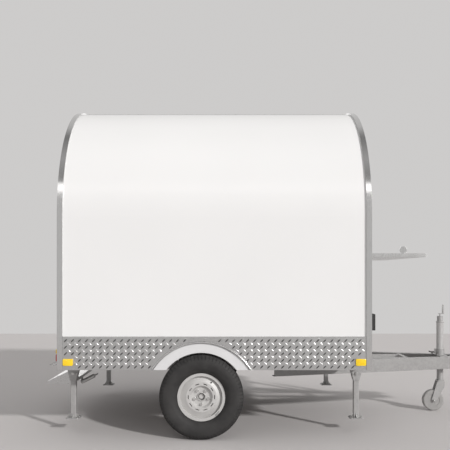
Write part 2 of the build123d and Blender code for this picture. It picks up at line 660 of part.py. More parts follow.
def jockey_crank():
    """Head on top of the tube with its winding handle folded up."""
    top = JOCKEY_TUBE_TOP
    head_top = top + CRANK_HEAD
    arm_low = head_top + CRANK_STEM
    arm_high = arm_low + CRANK_ARM
    head = rod_z(JOCKEY_X, 0, JOCKEY_TUBE_RADIUS - 6, top, head_top)
    stem = rod_z(JOCKEY_X, 0, 6, head_top, arm_low)
    arm = block(JOCKEY_X - 10, JOCKEY_X + CRANK_REACH + 8, -8, 8, arm_low, arm_high)
    grip = rod_z(JOCKEY_X + CRANK_REACH, 0, 8, arm_high, arm_high + CRANK_GRIP)
    return head + stem + arm + grip


def jockey_inner_tube():
    radius = JOCKEY_TUBE_RADIUS - JOCKEY_TUBE_WALL - FIT
    return rod_z(JOCKEY_X, 0, radius, FORK_TOP + FIT, JOCKEY_TUBE_TOP - 150)


def jockey_fork():
    """Trailing fork with the wheel's pin."""
    wheel_x = JOCKEY_X - JOCKEY_TRAIL
    wheel_z = JOCKEY_WHEEL_RADIUS
    inner = JOCKEY_WHEEL_WIDTH / 2 + 3
    outer = inner + FORK_SHEET
    crown_low = FORK_TOP - FORK_CROWN
    rear_x = JOCKEY_X - FORK_HALF
    front_x = JOCKEY_X + FORK_HALF
    crown = block(rear_x, front_x, -outer, outer, crown_low, FORK_TOP)
    crown = fillet(crown.edges().filter_by(Axis.Z), FORK_CROWN)
    corners = [(rear_x, crown_low), (front_x, crown_low), (front_x - 6, crown_low - 50),
               (wheel_x + 18, wheel_z - 10), (wheel_x - 10, wheel_z - 16), (wheel_x - 18, wheel_z + 10)]
    cheek = plate_xz(corners, inner, outer)
    pin = rod_y(wheel_x, wheel_z, JOCKEY_PIN_RADIUS, -inner, inner)
    return crown + both_sides(cheek) + pin


def jockey_wheel():
    x = JOCKEY_X - JOCKEY_TRAIL
    z = JOCKEY_WHEEL_RADIUS
    half = JOCKEY_WHEEL_WIDTH / 2
    wheel = rod_y(x, z, JOCKEY_WHEEL_RADIUS, -half, half)
    wheel = fillet(wheel.edges().filter_by(GeomType.CIRCLE), half / 2)
    wheel = wheel - rod_y(x, z, JOCKEY_HUB_RADIUS, half - JOCKEY_RECESS, half + 1)
    wheel = wheel - rod_y(x, z, JOCKEY_HUB_RADIUS, -half - 1, -half + JOCKEY_RECESS)
    return wheel - rod_y(x, z, JOCKEY_PIN_RADIUS + RUNNING_FIT, -half, half)


def leg_bracket(x):
    """Two cheek plates, a top plate and the pivot pin of a right-hand leg."""
    top = CROSS_BOTTOM
    inner = LEG_SIZE / 2 + CHEEK_GAP
    outer = inner + CHEEK
    tip = LEG_SIZE / 2 + 2
    wide = BRACKET_HALF
    waist = top - BRACKET_WAIST
    corners = [(x - wide, top - CHEEK), (x + wide, top - CHEEK), (x + wide, waist), (x + tip, CHEEK_TIP_Z),
               (x - tip, CHEEK_TIP_Z), (x - wide, waist)]
    cheek_out = plate_xz(corners, -LEG_Y - outer, -LEG_Y - inner)
    cheek_in = plate_xz(corners, -LEG_Y + inner, -LEG_Y + outer)
    cap = block(x - wide, x + wide, -LEG_Y - outer, -LEG_Y + outer, top - CHEEK, top)
    pin = rod_y(x, LEG_PIVOT_Z, LEG_PIN_RADIUS, -LEG_Y - outer - 7, -LEG_Y + outer + 7)
    return cheek_out + cheek_in + cap + pin


def rear_leg_spring():
    """Right locking spring under its stay, which runs from the bracket up to the main rail."""
    foot_x, foot_z = (LEG_REAR_X + SPRING_FOOT[0], SPRING_FOOT[1])
    run = (LEG_REAR_X + SPRING_HEAD[0] - foot_x, SPRING_HEAD[1] - foot_z)
    rail_face = RAIL_Y + RAIL_WIDTH / 2
    cheek_face = LEG_Y - LEG_SIZE / 2 - CHEEK_GAP - CHEEK
    coil_y = (rail_face + CHEEK + cheek_face) / 2
    place = Plane((foot_x, -coil_y, foot_z), z_dir=(run[0], 0, run[1]))
    length = sqrt(run[0] ** 2 + run[1] ** 2)
    coil = extrude(place * Circle(SPRING_RADIUS), amount=length)
    rod = extrude(place * Circle(SPRING_ROD_RADIUS), amount=length + 2 * SPRING_RADIUS)
    outline = [(LEG_REAR_X + x, z) for x, z in STAY_OUTLINE]
    stay = plate_xz(outline, -rail_face - CHEEK, -rail_face)
    half = SPRING_ROD_RADIUS + 2
    ear_top = foot_z + 4 * half
    ear = block(foot_x - half, foot_x + half, -rail_face - CHEEK, -rail_face, foot_z - half, ear_top)
    foot_pin = rod_y(foot_x, foot_z, SPRING_ROD_RADIUS, -coil_y, -rail_face)
    stay_pin = rod_y(LEG_REAR_X + STAY_PIN[0], STAY_PIN[1], SPRING_ROD_RADIUS, -cheek_face, -rail_face)
    return coil + rod + stay + ear + foot_pin + stay_pin


def leg(x):
    """Right-hand corner leg: square tube with its foot plate."""
    half = LEG_SIZE / 2
    top = LEG_PIVOT_Z + half + 4
    low = LEG_FOOT_Z + FOOT_SHEET
    tube = block(x - half, x + half, -LEG_Y - half, -LEG_Y + half, low, top)
    tube = fillet(tube.edges().filter_by(Axis.Z), 5)
    inside = half - TUBE_WALL
    tube = tube - block(x - inside, x + inside, -LEG_Y - inside, -LEG_Y + inside, low, top + 1)
    hole = rod_y(x, LEG_PIVOT_Z, LEG_PIN_RADIUS + RUNNING_FIT, -LEG_Y - half - 1, -LEG_Y + half + 1)
    edge = FOOT_SIZE / 2
    foot = block(x - edge, x + edge, -LEG_Y - edge, -LEG_Y + edge, LEG_FOOT_Z, low)
    foot = fillet(foot.edges().filter_by(Axis.Z), 10)
    return tube - hole + foot


def rear_step():
    """Step tray hung from the chassis by two triangular end plates."""
    x_rear = REAR_END
    x_front = -HALF_LENGTH + STEP_UNDER
    low = STEP_TOP - STEP_THICKNESS
    tray = block(x_rear, x_front, -STEP_HALF, STEP_HALF, low, STEP_TOP)
    tray = fillet(tray.edges().filter_by(Axis.Y), 4)
    peak = STEP_TOP + GUSSET_RISE
    corners = [(x_rear + 6, STEP_TOP), (-HALF_LENGTH + 10, peak), (-HALF_LENGTH + 16, RAIL_BOTTOM + 25),
               (x_front, RAIL_BOTTOM + 25), (x_front, STEP_TOP)]
    y = RAIL_Y + RAIL_WIDTH / 2
    gusset = plate_xz(corners, -y - GUSSET, -y)
    return tray + both_sides(gusset)


def rear_door():
    y = DOOR_HALF - MOVING_GAP
    z0 = DOOR_BOTTOM + MOVING_GAP
    z1 = DOOR_TOP - MOVING_GAP
    leaf = block(-PANEL_X, -INNER_X, -y, y, z0, z1)
    return leaf - door_window(-PANEL_X - 5, -INNER_X + 5)


def rear_door_glass():
    middle = -(PANEL_X + INNER_X) / 2
    return door_window(middle - GLASS / 2, middle + GLASS / 2)


def rear_door_handle():
    y = DOOR_HALF - HANDLE_INSET
    z = HANDLE_Z
    face = -PANEL_X - HANDLE_ROSE
    grip = face - HANDLE_REACH
    rose = block(face, -PANEL_X, y - 22, y + 22, z - 90, z + 50)
    stem = rod_x(y, z, 9, grip, face)
    lever = block(grip - HANDLE_GRIP, grip, y - HANDLE_LENGTH, y + 14, z - 10, z + 10)
    return rose + stem + fillet(lever.edges().filter_by(Axis.X), 8)


def rear_door_hinges():
    """Three hinges on the right jamb; their barrels stand on the door's turning axis."""
    hinges = Part()
    for part_way in (0.12, 0.5, 0.88):
        z = DOOR_BOTTOM + part_way * (DOOR_TOP - DOOR_BOTTOM)
        low = z - HINGE_HALF
        high = z + HINGE_HALF
        barrel = rod_z(-HINGE_X, -DOOR_HALF - DOOR_MARGIN, HINGE_RADIUS, low, high)
        leaf = block(-PANEL_X - SHEET, -PANEL_X, -DOOR_HALF - HINGE_HALF, -DOOR_HALF - DOOR_MARGIN, low, high)
        hinges += barrel + leaf
    return hinges


def front_hatch():
    y = FRONT_HATCH_HALF - MOVING_GAP
    return block(INNER_X, PANEL_X, -y, y, FRONT_HATCH_BOTTOM + MOVING_GAP, FRONT_HATCH_TOP - MOVING_GAP)


def front_hatch_rail():
    """Drip rail over the front hatch, with the hinge barrel under it."""
    z = FRONT_HATCH_TOP + 4
    half = FRONT_HATCH_HALF + 5
    barrel = rod_y(HINGE_X, z, HINGE_RADIUS, -half, half)
    rail = block(PANEL_X, PANEL_X + RAIL_PROUD, -half, half, z + HINGE_RADIUS - 1, z + HINGE_RADIUS + 11)
    return barrel + fillet(rail.edges().filter_by(Axis.Y).sort_by(Axis.X)[-2:], 3)


def front_shelf():
    """Folded sheet shelf: a flat box, open towards the front wall."""
    x0 = PANEL_X + SHELF_GAP
    x1 = x0 + SHELF_REACH
    low = SHELF_TOP - SHELF_THICKNESS
    tray = block(x0, x1, -SHELF_HALF, SHELF_HALF, low, SHELF_TOP)
    tray = fillet(tray.edges().filter_by(Axis.Z).group_by(Axis.X)[-1], SHELF_CORNER)
    inside = SHELF_HALF - SHELF_SHEET
    hollow = block(x0 - 1, x1 - SHELF_SHEET, -inside, inside, low + SHELF_SHEET, SHELF_TOP - SHELF_SHEET)
    corner = SHELF_CORNER - SHELF_SHEET
    return tray - fillet(hollow.edges().filter_by(Axis.Z).group_by(Axis.X)[-1], corner)


def front_shelf_knob():
    """Right turning catch on top of the shelf, near its end."""
    x = PANEL_X + SHELF_GAP + KNOB_AHEAD
    z = SHELF_TOP + KNOB_RADIUS
    half = KNOB_THICKNESS / 2
    head = rod_y(x, z, KNOB_RADIUS, -KNOB_Y - half, -KNOB_Y + half)
    head = fillet(head.edges().filter_by(GeomType.CIRCLE), half / 2)
    return head + block(x - half, x + half, -KNOB_Y - half, -KNOB_Y + half, SHELF_TOP, z)


def front_shelf_hinge():
    z = SHELF_TOP - SHELF_THICKNESS - HINGE_RADIUS
    return rod_y(HINGE_X, z, HINGE_RADIUS, -SHELF_HALF, SHELF_HALF)


def side_hinge_place():
    """Where the side hatch turns: just above its top edge, on the outside of the skin."""
    radius = SHOULDER_RADIUS - TRIM_PROUD + HINGE_RADIUS
    angle = radians(SIDE_HATCH_ANGLE) + 10 / radius
    return CROWN_HALF + radius * cos(angle), SPRING_Z + radius * sin(angle)


def side_hatch_rail():
    """Drip rail over the side hatch, with the hinge barrel under it."""
    y, z = side_hinge_place()
    half = SIDE_HATCH_HALF + 5
    barrel = rod_x(y, z, HINGE_RADIUS, -half, half)
    radius = SHOULDER_RADIUS - TRIM_PROUD
    angle = SIDE_HATCH_ANGLE + degrees(24 / radius)
    rail = Pos(radius + 20, 0, 0) * Box(40, 2 * half, 8)
    rail = Pos(0, CROWN_HALF, SPRING_Z) * Rot(0, 0, 90) * (Rot(0, -angle, 0) * rail)
    return barrel + rail


def side_counter():
    """Fold-down counter, stored hanging under the side hatch: a flat box, open at its hinge edge."""
    y0 = PANEL_Y + COUNTER_GAP
    y1 = y0 + COUNTER_THICKNESS
    top = SIDE_HATCH_BOTTOM - COUNTER_DROP
    low = top - COUNTER_DEPTH
    tray = block(-COUNTER_HALF, COUNTER_HALF, y0, y1, low, top)
    tray = fillet(tray.edges().filter_by(Axis.Y).group_by(Axis.Z)[0], SHELF_CORNER)
    inside = COUNTER_HALF - SHELF_SHEET
    hollow = block(-inside, inside, y0 + SHELF_SHEET, y1 - SHELF_SHEET, low + SHELF_SHEET, top + 1)
    corner = SHELF_CORNER - SHELF_SHEET
    return tray - fillet(hollow.edges().filter_by(Axis.Y).group_by(Axis.Z)[0], corner)


def side_counter_hinge():
    z = SIDE_HATCH_BOTTOM - COUNTER_DROP + HINGE_RADIUS + 3
    return rod_x(PANEL_Y + HINGE_RADIUS, z, HINGE_RADIUS, -COUNTER_HALF, COUNTER_HALF)


def tail_lamp():
    x = -PANEL_X - SHEET
    half = LAMP_WIDTH / 2
    lamp = block(x - LAMP_DEPTH, x, -LAMP_Y - half, -LAMP_Y + half, LAMP_BOTTOM, LAMP_TOP)
    return fillet(lamp.edges().filter_by(Axis.X), 8)


def side_marker(x):
    half = MARKER_LENGTH / 2
    low = MARKER_Z - MARKER_HEIGHT / 2
    marker = block(x - half, x + half, -SKIN_Y - MARKER_DEPTH, -SKIN_Y, low, low + MARKER_HEIGHT)
    return fillet(marker.edges().filter_by(Axis.Y), 4)


def side_markers():
    x = HALF_LENGTH - TRIM_WIDTH - MARKER_LENGTH / 2 - 2
    return both_sides(side_marker(x)) + both_sides(side_marker(-x))


def power_inlet():
    box = block(PANEL_X, PANEL_X + INLET_DEPTH, INLET_Y - INLET_WIDTH / 2, INLET_Y + INLET_WIDTH / 2,
                INLET_BOTTOM, INLET_TOP)
    return fillet(box.edges().filter_by(Axis.X), 10)


def export(name, shape):
    export_step(Pos(-ORIGIN_X, 0, 0) * shape, os.path.join("parts", name + ".step"))


def build():
    os.makedirs("parts", exist_ok=True)
    right, left, roof, side_hatch = shell_pieces()
    export("right_panel", right)
    export("left_panel", left)
    export("roof_panel", roof)
    export("side_hatch", side_hatch)
    export("front_wall", front_wall())
    export("rear_wall", rear_wall())
    export("front_edge_trim", edge_trim(1))
    export("rear_edge_trim", edge_trim(-1))
    export("right_skirt", skirt())
    export("left_skirt", other_side(skirt()))
    export("front_apron", front_apron())
    export("rear_apron", rear_apron())
    export("wheel_arch_beads", both_sides(arch_bead()))
    export("right_wheel_tub", wheel_tub())
    export("left_wheel_tub", other_side(wheel_tub()))
    export("floor_panel", floor_panel())
    export("chassis_rails", chassis_rails())
    export("cross_members", cross_members())
    export("drawbar_supports", drawbar_supports())
    export("side_sills", side_sills())
    export("axle_beam", axle_beam())
    export("trailing_arms", both_sides(trailing_arm()))
    for side, place in (("right", lambda shape: shape), ("left", other_side)):
        export(side + "_hub", place(hub()))
        export(side + "_rim", place(rim()))
        export(side + "_tyre", place(tyre()))
        export("rear_" + side + "_leg", place(leg(LEG_REAR_X)))
        export("front_" + side + "_leg", place(leg(LEG_FRONT_X)))
    export("leg_brackets", both_sides(leg_bracket(LEG_REAR_X)) + both_sides(leg_bracket(LEG_FRONT_X)))
    export("rear_leg_springs", both_sides(rear_leg_spring()))
    export("drawbar_rails", both_sides(drawbar_rail()))
    export("drawbar_rack", drawbar_rack())
    export("nose_plate", nose_plate())
    export("coupling_head", coupling_head())
    export("coupling_lever", coupling_lever())
    export("jockey_clamp", jockey_clamp())
    export("jockey_outer_tube", jockey_outer_tube())
    export("jockey_crank", jockey_crank())
    export("jockey_inner_tube", jockey_inner_tube())
    export("jockey_fork", jockey_fork())
    export("jockey_wheel", jockey_wheel())
    export("rear_step", rear_step())
    export("rear_door", rear_door())
    export("rear_door_glass", rear_door_glass())
    export("rear_door_handle", rear_door_handle())
    export("rear_door_hinges", rear_door_hinges())
    export("front_hatch", front_hatch())
    export("front_hatch_rail", front_hatch_rail())
    export("front_shelf", front_shelf())
    export("front_shelf_knobs", both_sides(front_shelf_knob()))
    export("shelf_hinges", front_shelf_hinge() + side_counter_hinge())
    export("side_hatch_rail", side_hatch_rail())
    export("side_counter", side_counter())
    export("tail_lamps", both_sides(tail_lamp()))
    export("side_markers", side_markers())
    export("power_inlet", power_inlet())


build()
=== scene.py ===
import json
import math

import bmesh
import bpy
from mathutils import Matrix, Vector


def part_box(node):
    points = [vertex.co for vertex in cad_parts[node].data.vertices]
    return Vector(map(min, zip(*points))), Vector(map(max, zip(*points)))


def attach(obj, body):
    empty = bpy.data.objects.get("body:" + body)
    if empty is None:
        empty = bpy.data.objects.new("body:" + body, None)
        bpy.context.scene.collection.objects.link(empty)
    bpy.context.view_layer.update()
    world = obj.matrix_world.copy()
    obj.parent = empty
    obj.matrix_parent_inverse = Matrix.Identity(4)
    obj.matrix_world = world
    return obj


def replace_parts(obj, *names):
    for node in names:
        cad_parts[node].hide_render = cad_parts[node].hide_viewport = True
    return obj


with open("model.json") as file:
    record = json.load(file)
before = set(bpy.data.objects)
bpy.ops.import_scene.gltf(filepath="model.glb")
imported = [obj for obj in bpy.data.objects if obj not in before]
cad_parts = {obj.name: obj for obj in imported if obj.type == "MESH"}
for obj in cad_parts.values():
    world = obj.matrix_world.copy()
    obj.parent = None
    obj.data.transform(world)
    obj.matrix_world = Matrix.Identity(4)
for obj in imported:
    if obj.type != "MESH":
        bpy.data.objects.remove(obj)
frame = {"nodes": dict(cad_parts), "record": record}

# The food trailer's looks: +X forwards, +Y left, +Z up, metres, floor at Z = 0.

SCENE = bpy.context.scene
NODES = frame["nodes"]
JOINTS = {joint["name"]: joint for joint in frame["record"]["behaviour"]["joints"]}
X = Vector((1, 0, 0))
Y = Vector((0, 1, 0))
Z = Vector((0, 0, 1))
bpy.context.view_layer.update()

# ---- Places read from the frame ----
SKIRT_LOW, SKIRT_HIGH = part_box("right_skirt")
TRIM_LOW, TRIM_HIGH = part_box("front_edge_trim")
REAR_LOW, REAR_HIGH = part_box("rear_edge_trim")
PANEL_LOW, PANEL_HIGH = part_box("right_panel")
TYRE_LOW, TYRE_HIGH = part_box("right_tyre")
RIM_LOW, RIM_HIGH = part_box("right_rim")
HUB_LOW, HUB_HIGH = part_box("right_hub")
BODY_X = (REAR_LOW.x + TRIM_HIGH.x) / 2
HALF_WIDTH = TRIM_HIGH.y
SKIRT_Y = -SKIRT_LOW.y
FRONT_X = PANEL_HIGH.x
REAR_X = PANEL_LOW.x
AXLE = Vector(((TYRE_LOW.x + TYRE_HIGH.x) / 2, 0, (RIM_LOW.z + RIM_HIGH.z) / 2))
TYRE_RADIUS = AXLE.z
TYRE_Y = -(TYRE_LOW.y + TYRE_HIGH.y) / 2


# ---- Node helpers for the materials and the backdrop ----
class Nodes:
    """A node tree under construction, with short calls for the nodes it needs."""

    def __init__(self, tree):
        self.tree = tree

    def feed(self, socket, value):
        """Links another node's output to a socket, or sets a plain value on it."""
        if isinstance(value, bpy.types.NodeSocket):
            self.tree.links.new(value, socket)
        else:
            socket.default_value = value

    def node(self, kind, inputs=(), **settings):
        made = self.tree.nodes.new(kind)
        for key, value in settings.items():
            setattr(made, key, value)
        for socket, value in dict(inputs).items():
            self.feed(made.inputs[socket], value)
        return made

    def math(self, operation, first, second=0.0):
        return self.node("ShaderNodeMath", {0: first, 1: second}, operation=operation).outputs[0]

    def greys(self, value, stops):
        """Slightly warm greys over 0 to 1, through (place, brightness) stops."""
        made = self.node("ShaderNodeValToRGB", {"Fac": value})
        marks = made.color_ramp.elements
        while len(marks) < len(stops):
            marks.new(0.5)
        for mark, (place, grey) in zip(marks, stops):
            mark.position = place
            mark.color = (grey, grey * 0.985, grey * 0.975, 1)
        return made.outputs["Color"]


class Surface(Nodes):
    """A material under construction, with its textures laid on by object coordinates."""

    def __init__(self, name):
        self.material = bpy.data.materials.new(name)
        self.material.use_nodes = True
        super().__init__(self.material.node_tree)
        self.shader = self.tree.nodes["Principled BSDF"]
        self.place = self.node("ShaderNodeTexCoord").outputs["Object"]

    def noise(self, scale, detail=4.0, roughness=0.55, stretch=None):
        place = self.place
        if stretch:
            place = self.node("ShaderNodeMapping", {"Vector": place, "Scale": stretch}).outputs["Vector"]
        inputs = {"Vector": place, "Scale": scale, "Detail": detail, "Roughness": roughness}
        return self.node("ShaderNodeTexNoise", inputs).outputs["Fac"]

    def cells(self, scale, feature="F1", output="Distance"):
        inputs = {"Vector": self.place, "Scale": scale}
        return self.node("ShaderNodeTexVoronoi", inputs, feature=feature).outputs[output]

    def waves(self, scale, distortion, direction):
        inputs = {"Vector": self.place, "Scale": scale, "Distortion": distortion}
        return self.node("ShaderNodeTexWave", inputs, bands_direction=direction).outputs["Fac"]

    def remap(self, value, low, high, to_low, to_high):
        inputs = {"Value": value, "From Min": low, "From Max": high, "To Min": to_low, "To Max": to_high}
        return self.node("ShaderNodeMapRange", inputs).outputs["Result"]

    def blend(self, share, first, second):
        """Mixes two colours, on the mix node's sockets for the share (0) and for colours (6, 7 and 2)."""
        inputs = {0: share, 6: first + (1,), 7: second + (1,)}
        return self.node("ShaderNodeMix", inputs, data_type="RGBA").outputs[2]

    def mottle(self, value, first, second, low=0.3, high=0.7):
        """Runs from the first colour to the second while a texture's value goes from low to high."""
        return self.blend(self.remap(value, low, high, 0.0, 1.0), first, second)

    def bump(self, height, distance, strength, under=None):
        inputs = {"Height": height, "Distance": distance, "Strength": strength}
        if under is not None:
            inputs["Normal"] = under
        return self.node("ShaderNodeBump", inputs).outputs["Normal"]

    def rounded(self, radius):
        """Softens the look of every sharp edge, as a deburred or painted edge is."""
        return self.node("ShaderNodeBevel", {"Radius": radius}, samples=4).outputs["Normal"]

    def set(self, **values):
        """Values and links on the shader's own sockets; _ in a name stands for a space."""
        for key, value in values.items():
            self.feed(self.shader.inputs[key.replace("_", " ")], value)
        return self.material


# ---- Materials ----
def gel_coat():
    surface = Surface("gel_coat")
    drift = surface.noise(0.9, detail=2.0)
    colour = surface.mottle(drift, (0.80, 0.80, 0.80), (0.825, 0.825, 0.824))
    wave = surface.bump(surface.noise(2.2, detail=1.0), 0.004, 0.12)
    peel = surface.bump(surface.noise(420.0, detail=2.0), 0.00004, 0.35, under=wave)
    rough = surface.remap(surface.noise(7.0), 0.3, 0.7, 0.3, 0.36)
    return surface.set(Base_Color=colour, Roughness=rough, Normal=peel, Specular_IOR_Level=0.4,
                       Coat_Weight=0.25, Coat_Roughness=0.12)


def brushed_metal(name, tone, stretch, rough, scratch=0.00003, contrast=0.86):
    surface = Surface(name)
    grain = surface.noise(90.0, detail=5.0, roughness=0.7, stretch=stretch)
    cloud = surface.noise(5.0, detail=3.0)
    dark = tuple(channel * contrast for channel in tone)
    colour = surface.mottle(grain, dark, tone, 0.35, 0.65)
    uneven = surface.math("ADD", surface.remap(grain, 0.3, 0.7, rough - 0.06, rough + 0.06),
                          surface.remap(cloud, 0.35, 0.65, -0.03, 0.04))
    normal = surface.bump(grain, scratch, 0.5, under=surface.rounded(0.0012))
    return surface.set(Base_Color=colour, Metallic=1.0, Roughness=uneven, Normal=normal)


def galvanised(name, low, high, rough=0.5):
    """Zinc, with a tone and a roughness for each crystal of its spangle."""
    surface = Surface(name)
    spangle = surface.cells(75.0, output="Color")
    tint = surface.node("ShaderNodeSeparateColor", {"Color": spangle}).outputs["Red"]
    cloud = surface.noise(9.0, detail=4.0)
    mixed = surface.math("ADD", surface.math("MULTIPLY", tint, 0.55), surface.math("MULTIPLY", cloud, 0.45))
    colour = surface.mottle(mixed, low, high, 0.25, 0.75)
    uneven = surface.remap(tint, 0.0, 1.0, rough, rough + 0.12)
    normal = surface.bump(surface.noise(260.0), 0.00004, 0.3, under=surface.rounded(0.0015))
    return surface.set(Base_Color=colour, Metallic=0.4, Roughness=uneven, Normal=normal)


def painted(name, low, high, rough, metallic=0.0, grain=180.0, flake=0.00006):
    surface = Surface(name)
    colour = surface.mottle(surface.noise(12.0, detail=4.0), low, high)
    normal = surface.bump(surface.noise(grain, detail=2.0), flake, 0.4, under=surface.rounded(0.0012))
    uneven = surface.remap(surface.noise(30.0), 0.3, 0.7, rough - 0.05, rough + 0.07)
    return surface.set(Base_Color=colour, Metallic=metallic, Roughness=uneven, Normal=normal)


def tyre_rubber():
    surface = Surface("tyre_rubber")
    dust = surface.noise(14.0, detail=6.0)
    colour = surface.mottle(dust, (0.026, 0.025, 0.025), (0.042, 0.0405, 0.040), 0.35, 0.7)
    pores = surface.bump(surface.noise(900.0, detail=2.0), 0.00015, 0.3)
    rough = surface.remap(dust, 0.3, 0.7, 0.62, 0.76)
    return surface.set(Base_Color=colour, Roughness=rough, Normal=pores, Specular_IOR_Level=0.35)


def moulded(name, low, high, rough, grain, depth):
    surface = Surface(name)
    colour = surface.mottle(surface.noise(20.0, detail=3.0), low, high)
    skin = surface.cells(grain, feature="SMOOTH_F1")
    uneven = surface.remap(skin, 0.0, 0.6, rough - 0.06, rough + 0.08)
    return surface.set(Base_Color=colour, Roughness=uneven, Normal=surface.bump(skin, depth, 0.5))


def lens(name, low, high, ribs):
    surface = Surface(name)
    colour = surface.mottle(surface.noise(60.0, detail=2.0), low, high)
    optic = surface.bump(surface.waves(ribs, 0.0, "X"), 0.0004, 0.3)
    return surface.set(Base_Color=colour, Roughness=0.18, Normal=optic, Coat_Weight=0.6, Coat_Roughness=0.05)


def window_pane():
    surface = Surface("tinted_acrylic")
    tint = surface.blend(surface.noise(1.5), (0.70, 0.77, 0.78), (0.76, 0.82, 0.83))
    wave = surface.bump(surface.noise(3.0, detail=1.0), 0.002, 0.06)
    return surface.set(Base_Color=tint, Roughness=0.04, Transmission_Weight=0.85, IOR=1.49, Normal=wave)


def phenolic_floor():
    """Brown boards with the mesh pattern of a non-slip face."""
    surface = Surface("phenolic_floor")
    weave = surface.math("MULTIPLY", surface.waves(90.0, 0.4, "X"), surface.waves(90.0, 0.4, "Y"))
    stain = surface.noise(6.0, detail=5.0)
    colour = surface.mottle(stain, (0.09, 0.062, 0.045), (0.15, 0.11, 0.085))
    return surface.set(Base_Color=colour, Roughness=surface.remap(weave, 0, 1, 0.5, 0.75),
                       Normal=surface.bump(weave, 0.0006, 0.5))


def floor_paint():
    surface = Surface("studio_floor")
    cloud = surface.noise(0.8, detail=3.0)
    colour = surface.blend(cloud, (0.58, 0.56, 0.556), (0.605, 0.584, 0.58))
    grit = surface.bump(surface.noise(150.0), 0.0002, 0.2)
    rough = surface.remap(cloud, 0.3, 0.7, 0.8, 0.86)
    return surface.set(Base_Color=colour, Roughness=rough, Specular_IOR_Level=0.15, Normal=grit)


GEL_COAT = gel_coat()
TRIM_STEEL = brushed_metal("brushed_trim", (0.73, 0.73, 0.728), (6.0, 6.0, 0.15), 0.15, 0.00001)
SHELF_STEEL = brushed_metal("brushed_shelf", (0.68, 0.68, 0.675), (6.0, 0.12, 6.0), 0.28)
BRIGHT_STEEL = brushed_metal("bright_steel", (0.8, 0.8, 0.79), (2.0, 2.0, 2.0), 0.16, 0.00001)
TREAD_ALUMINIUM = brushed_metal("tread_aluminium", (0.63, 0.63, 0.63), (0.6, 6.0, 6.0), 0.3,
                                0.000015, 0.94)
ZINC = galvanised("hot_dip_zinc", (0.385, 0.38, 0.378), (0.43, 0.425, 0.422))
RAIL_ZINC = galvanised("drawbar_zinc", (0.31, 0.305, 0.303), (0.35, 0.345, 0.342), 0.42)
TUBE_ZINC = galvanised("tube_zinc", (0.5, 0.495, 0.492), (0.54, 0.535, 0.532), 0.3)
TUB_PAINT = painted("tub_sheet", (0.68, 0.682, 0.69), (0.72, 0.722, 0.73), 0.4)
DARK_METAL = painted("dark_metal", (0.05, 0.048, 0.046), (0.09, 0.086, 0.083), 0.5, metallic=0.5)
RIM_PAINT = painted("silver_paint", (0.52, 0.513, 0.505), (0.57, 0.563, 0.555), 0.52,
                    metallic=0.2, grain=700.0)
RUBBER = tyre_rubber()
GREY_RUBBER = moulded("grey_solid_rubber", (0.3, 0.295, 0.29), (0.38, 0.372, 0.365), 0.62,
                      500.0, 0.0002)
BLACK_PLASTIC = moulded("black_grained_plastic", (0.018, 0.018, 0.018), (0.03, 0.03, 0.03), 0.5,
                        700.0, 0.0002)
AMBER_LENS = lens("amber_lens", (1.0, 0.62, 0.005), (1.0, 0.74, 0.02), 60.0)
RED_LENS = lens("red_lens", (0.5, 0.012, 0.012), (0.62, 0.025, 0.02), 60.0)
GLASS = window_pane()
FLOOR_BOARD = phenolic_floor()
GREY_PLASTIC = moulded("grey_plastic", (0.32, 0.32, 0.32), (0.38, 0.38, 0.38), 0.5, 700.0, 0.0001)
SEAL_RUBBER = moulded("seal_rubber", (0.02, 0.02, 0.02), (0.032, 0.032, 0.032), 0.6, 900.0, 0.0001)
PLATE_WHITE = painted("plate_white", (0.78, 0.78, 0.77), (0.83, 0.83, 0.82), 0.3,
                      grain=300.0, flake=0.00002)
BOLT_ZINC = brushed_metal("plated_bolts", (0.62, 0.62, 0.61), (1.0, 1.0, 1.0), 0.34)
# Lit and shaded copies of the tread metal: a dark copy is painted shade on the lugs that lean one way, a
# light copy is a painted highlight on the others.
PAINTED_SHADE_LUG = brushed_metal("lug_painted_shade", (0.13, 0.13, 0.13), (1.0, 1.0, 1.0), 0.3)
PAINTED_HIGHLIGHT_LUG = brushed_metal("lug_painted_highlight", (0.9, 0.9, 0.9), (1.0, 1.0, 1.0), 0.24)

FINISH = {
    "white_panel": GEL_COAT, "trim_steel": TRIM_STEEL, "shelf_steel": SHELF_STEEL,
    "tread_plate": TREAD_ALUMINIUM, "tub_paint": TUB_PAINT, "floor_board": FLOOR_BOARD,
    "galvanised": ZINC, "dark_metal": DARK_METAL, "rim_paint": RIM_PAINT, "tyre": RUBBER,
    "grey_rubber": GREY_RUBBER, "window_glass": GLASS, "black_plastic": BLACK_PLASTIC,
    "amber_lens": AMBER_LENS, "red_lens": RED_LENS,
}
OWN_FINISH = {"drawbar_rails": RAIL_ZINC, "jockey_clamp": ZINC, "jockey_outer_tube": TUBE_ZINC}


def finish_cad_nodes():
    """Each CAD node takes its own finish, or the one of its material slot."""
    for name, node in NODES.items():
        for place in node.material_slots:
            place.material = OWN_FINISH.get(name, FINISH[place.material.name.split(".")[0]])


finish_cad_nodes()


# ---- Solids made in mesh code ----
def solids_of(node):
    """The box of each separate solid in a CAD node, in order along X, then Y, then Z."""
    mesh = bmesh.new()
    mesh.from_mesh(NODES[node].data)
    bmesh.ops.remove_doubles(mesh, verts=mesh.verts, dist=0.00002)
    left = set(mesh.verts)
    boxes = []
    while left:
        reached = [left.pop()]
        for vertex in reached:
            beside = {edge.other_vert(vertex) for edge in vertex.link_edges} & left
            left -= beside
            reached.extend(beside)
        low = Vector([min(vertex.co[i] for vertex in reached) for i in range(3)])
        high = Vector([max(vertex.co[i] for vertex in reached) for i in range(3)])
        boxes.append((low, high))
    mesh.free()
    return sorted(boxes, key=lambda box: tuple(round(value, 3) for value in box[0]))


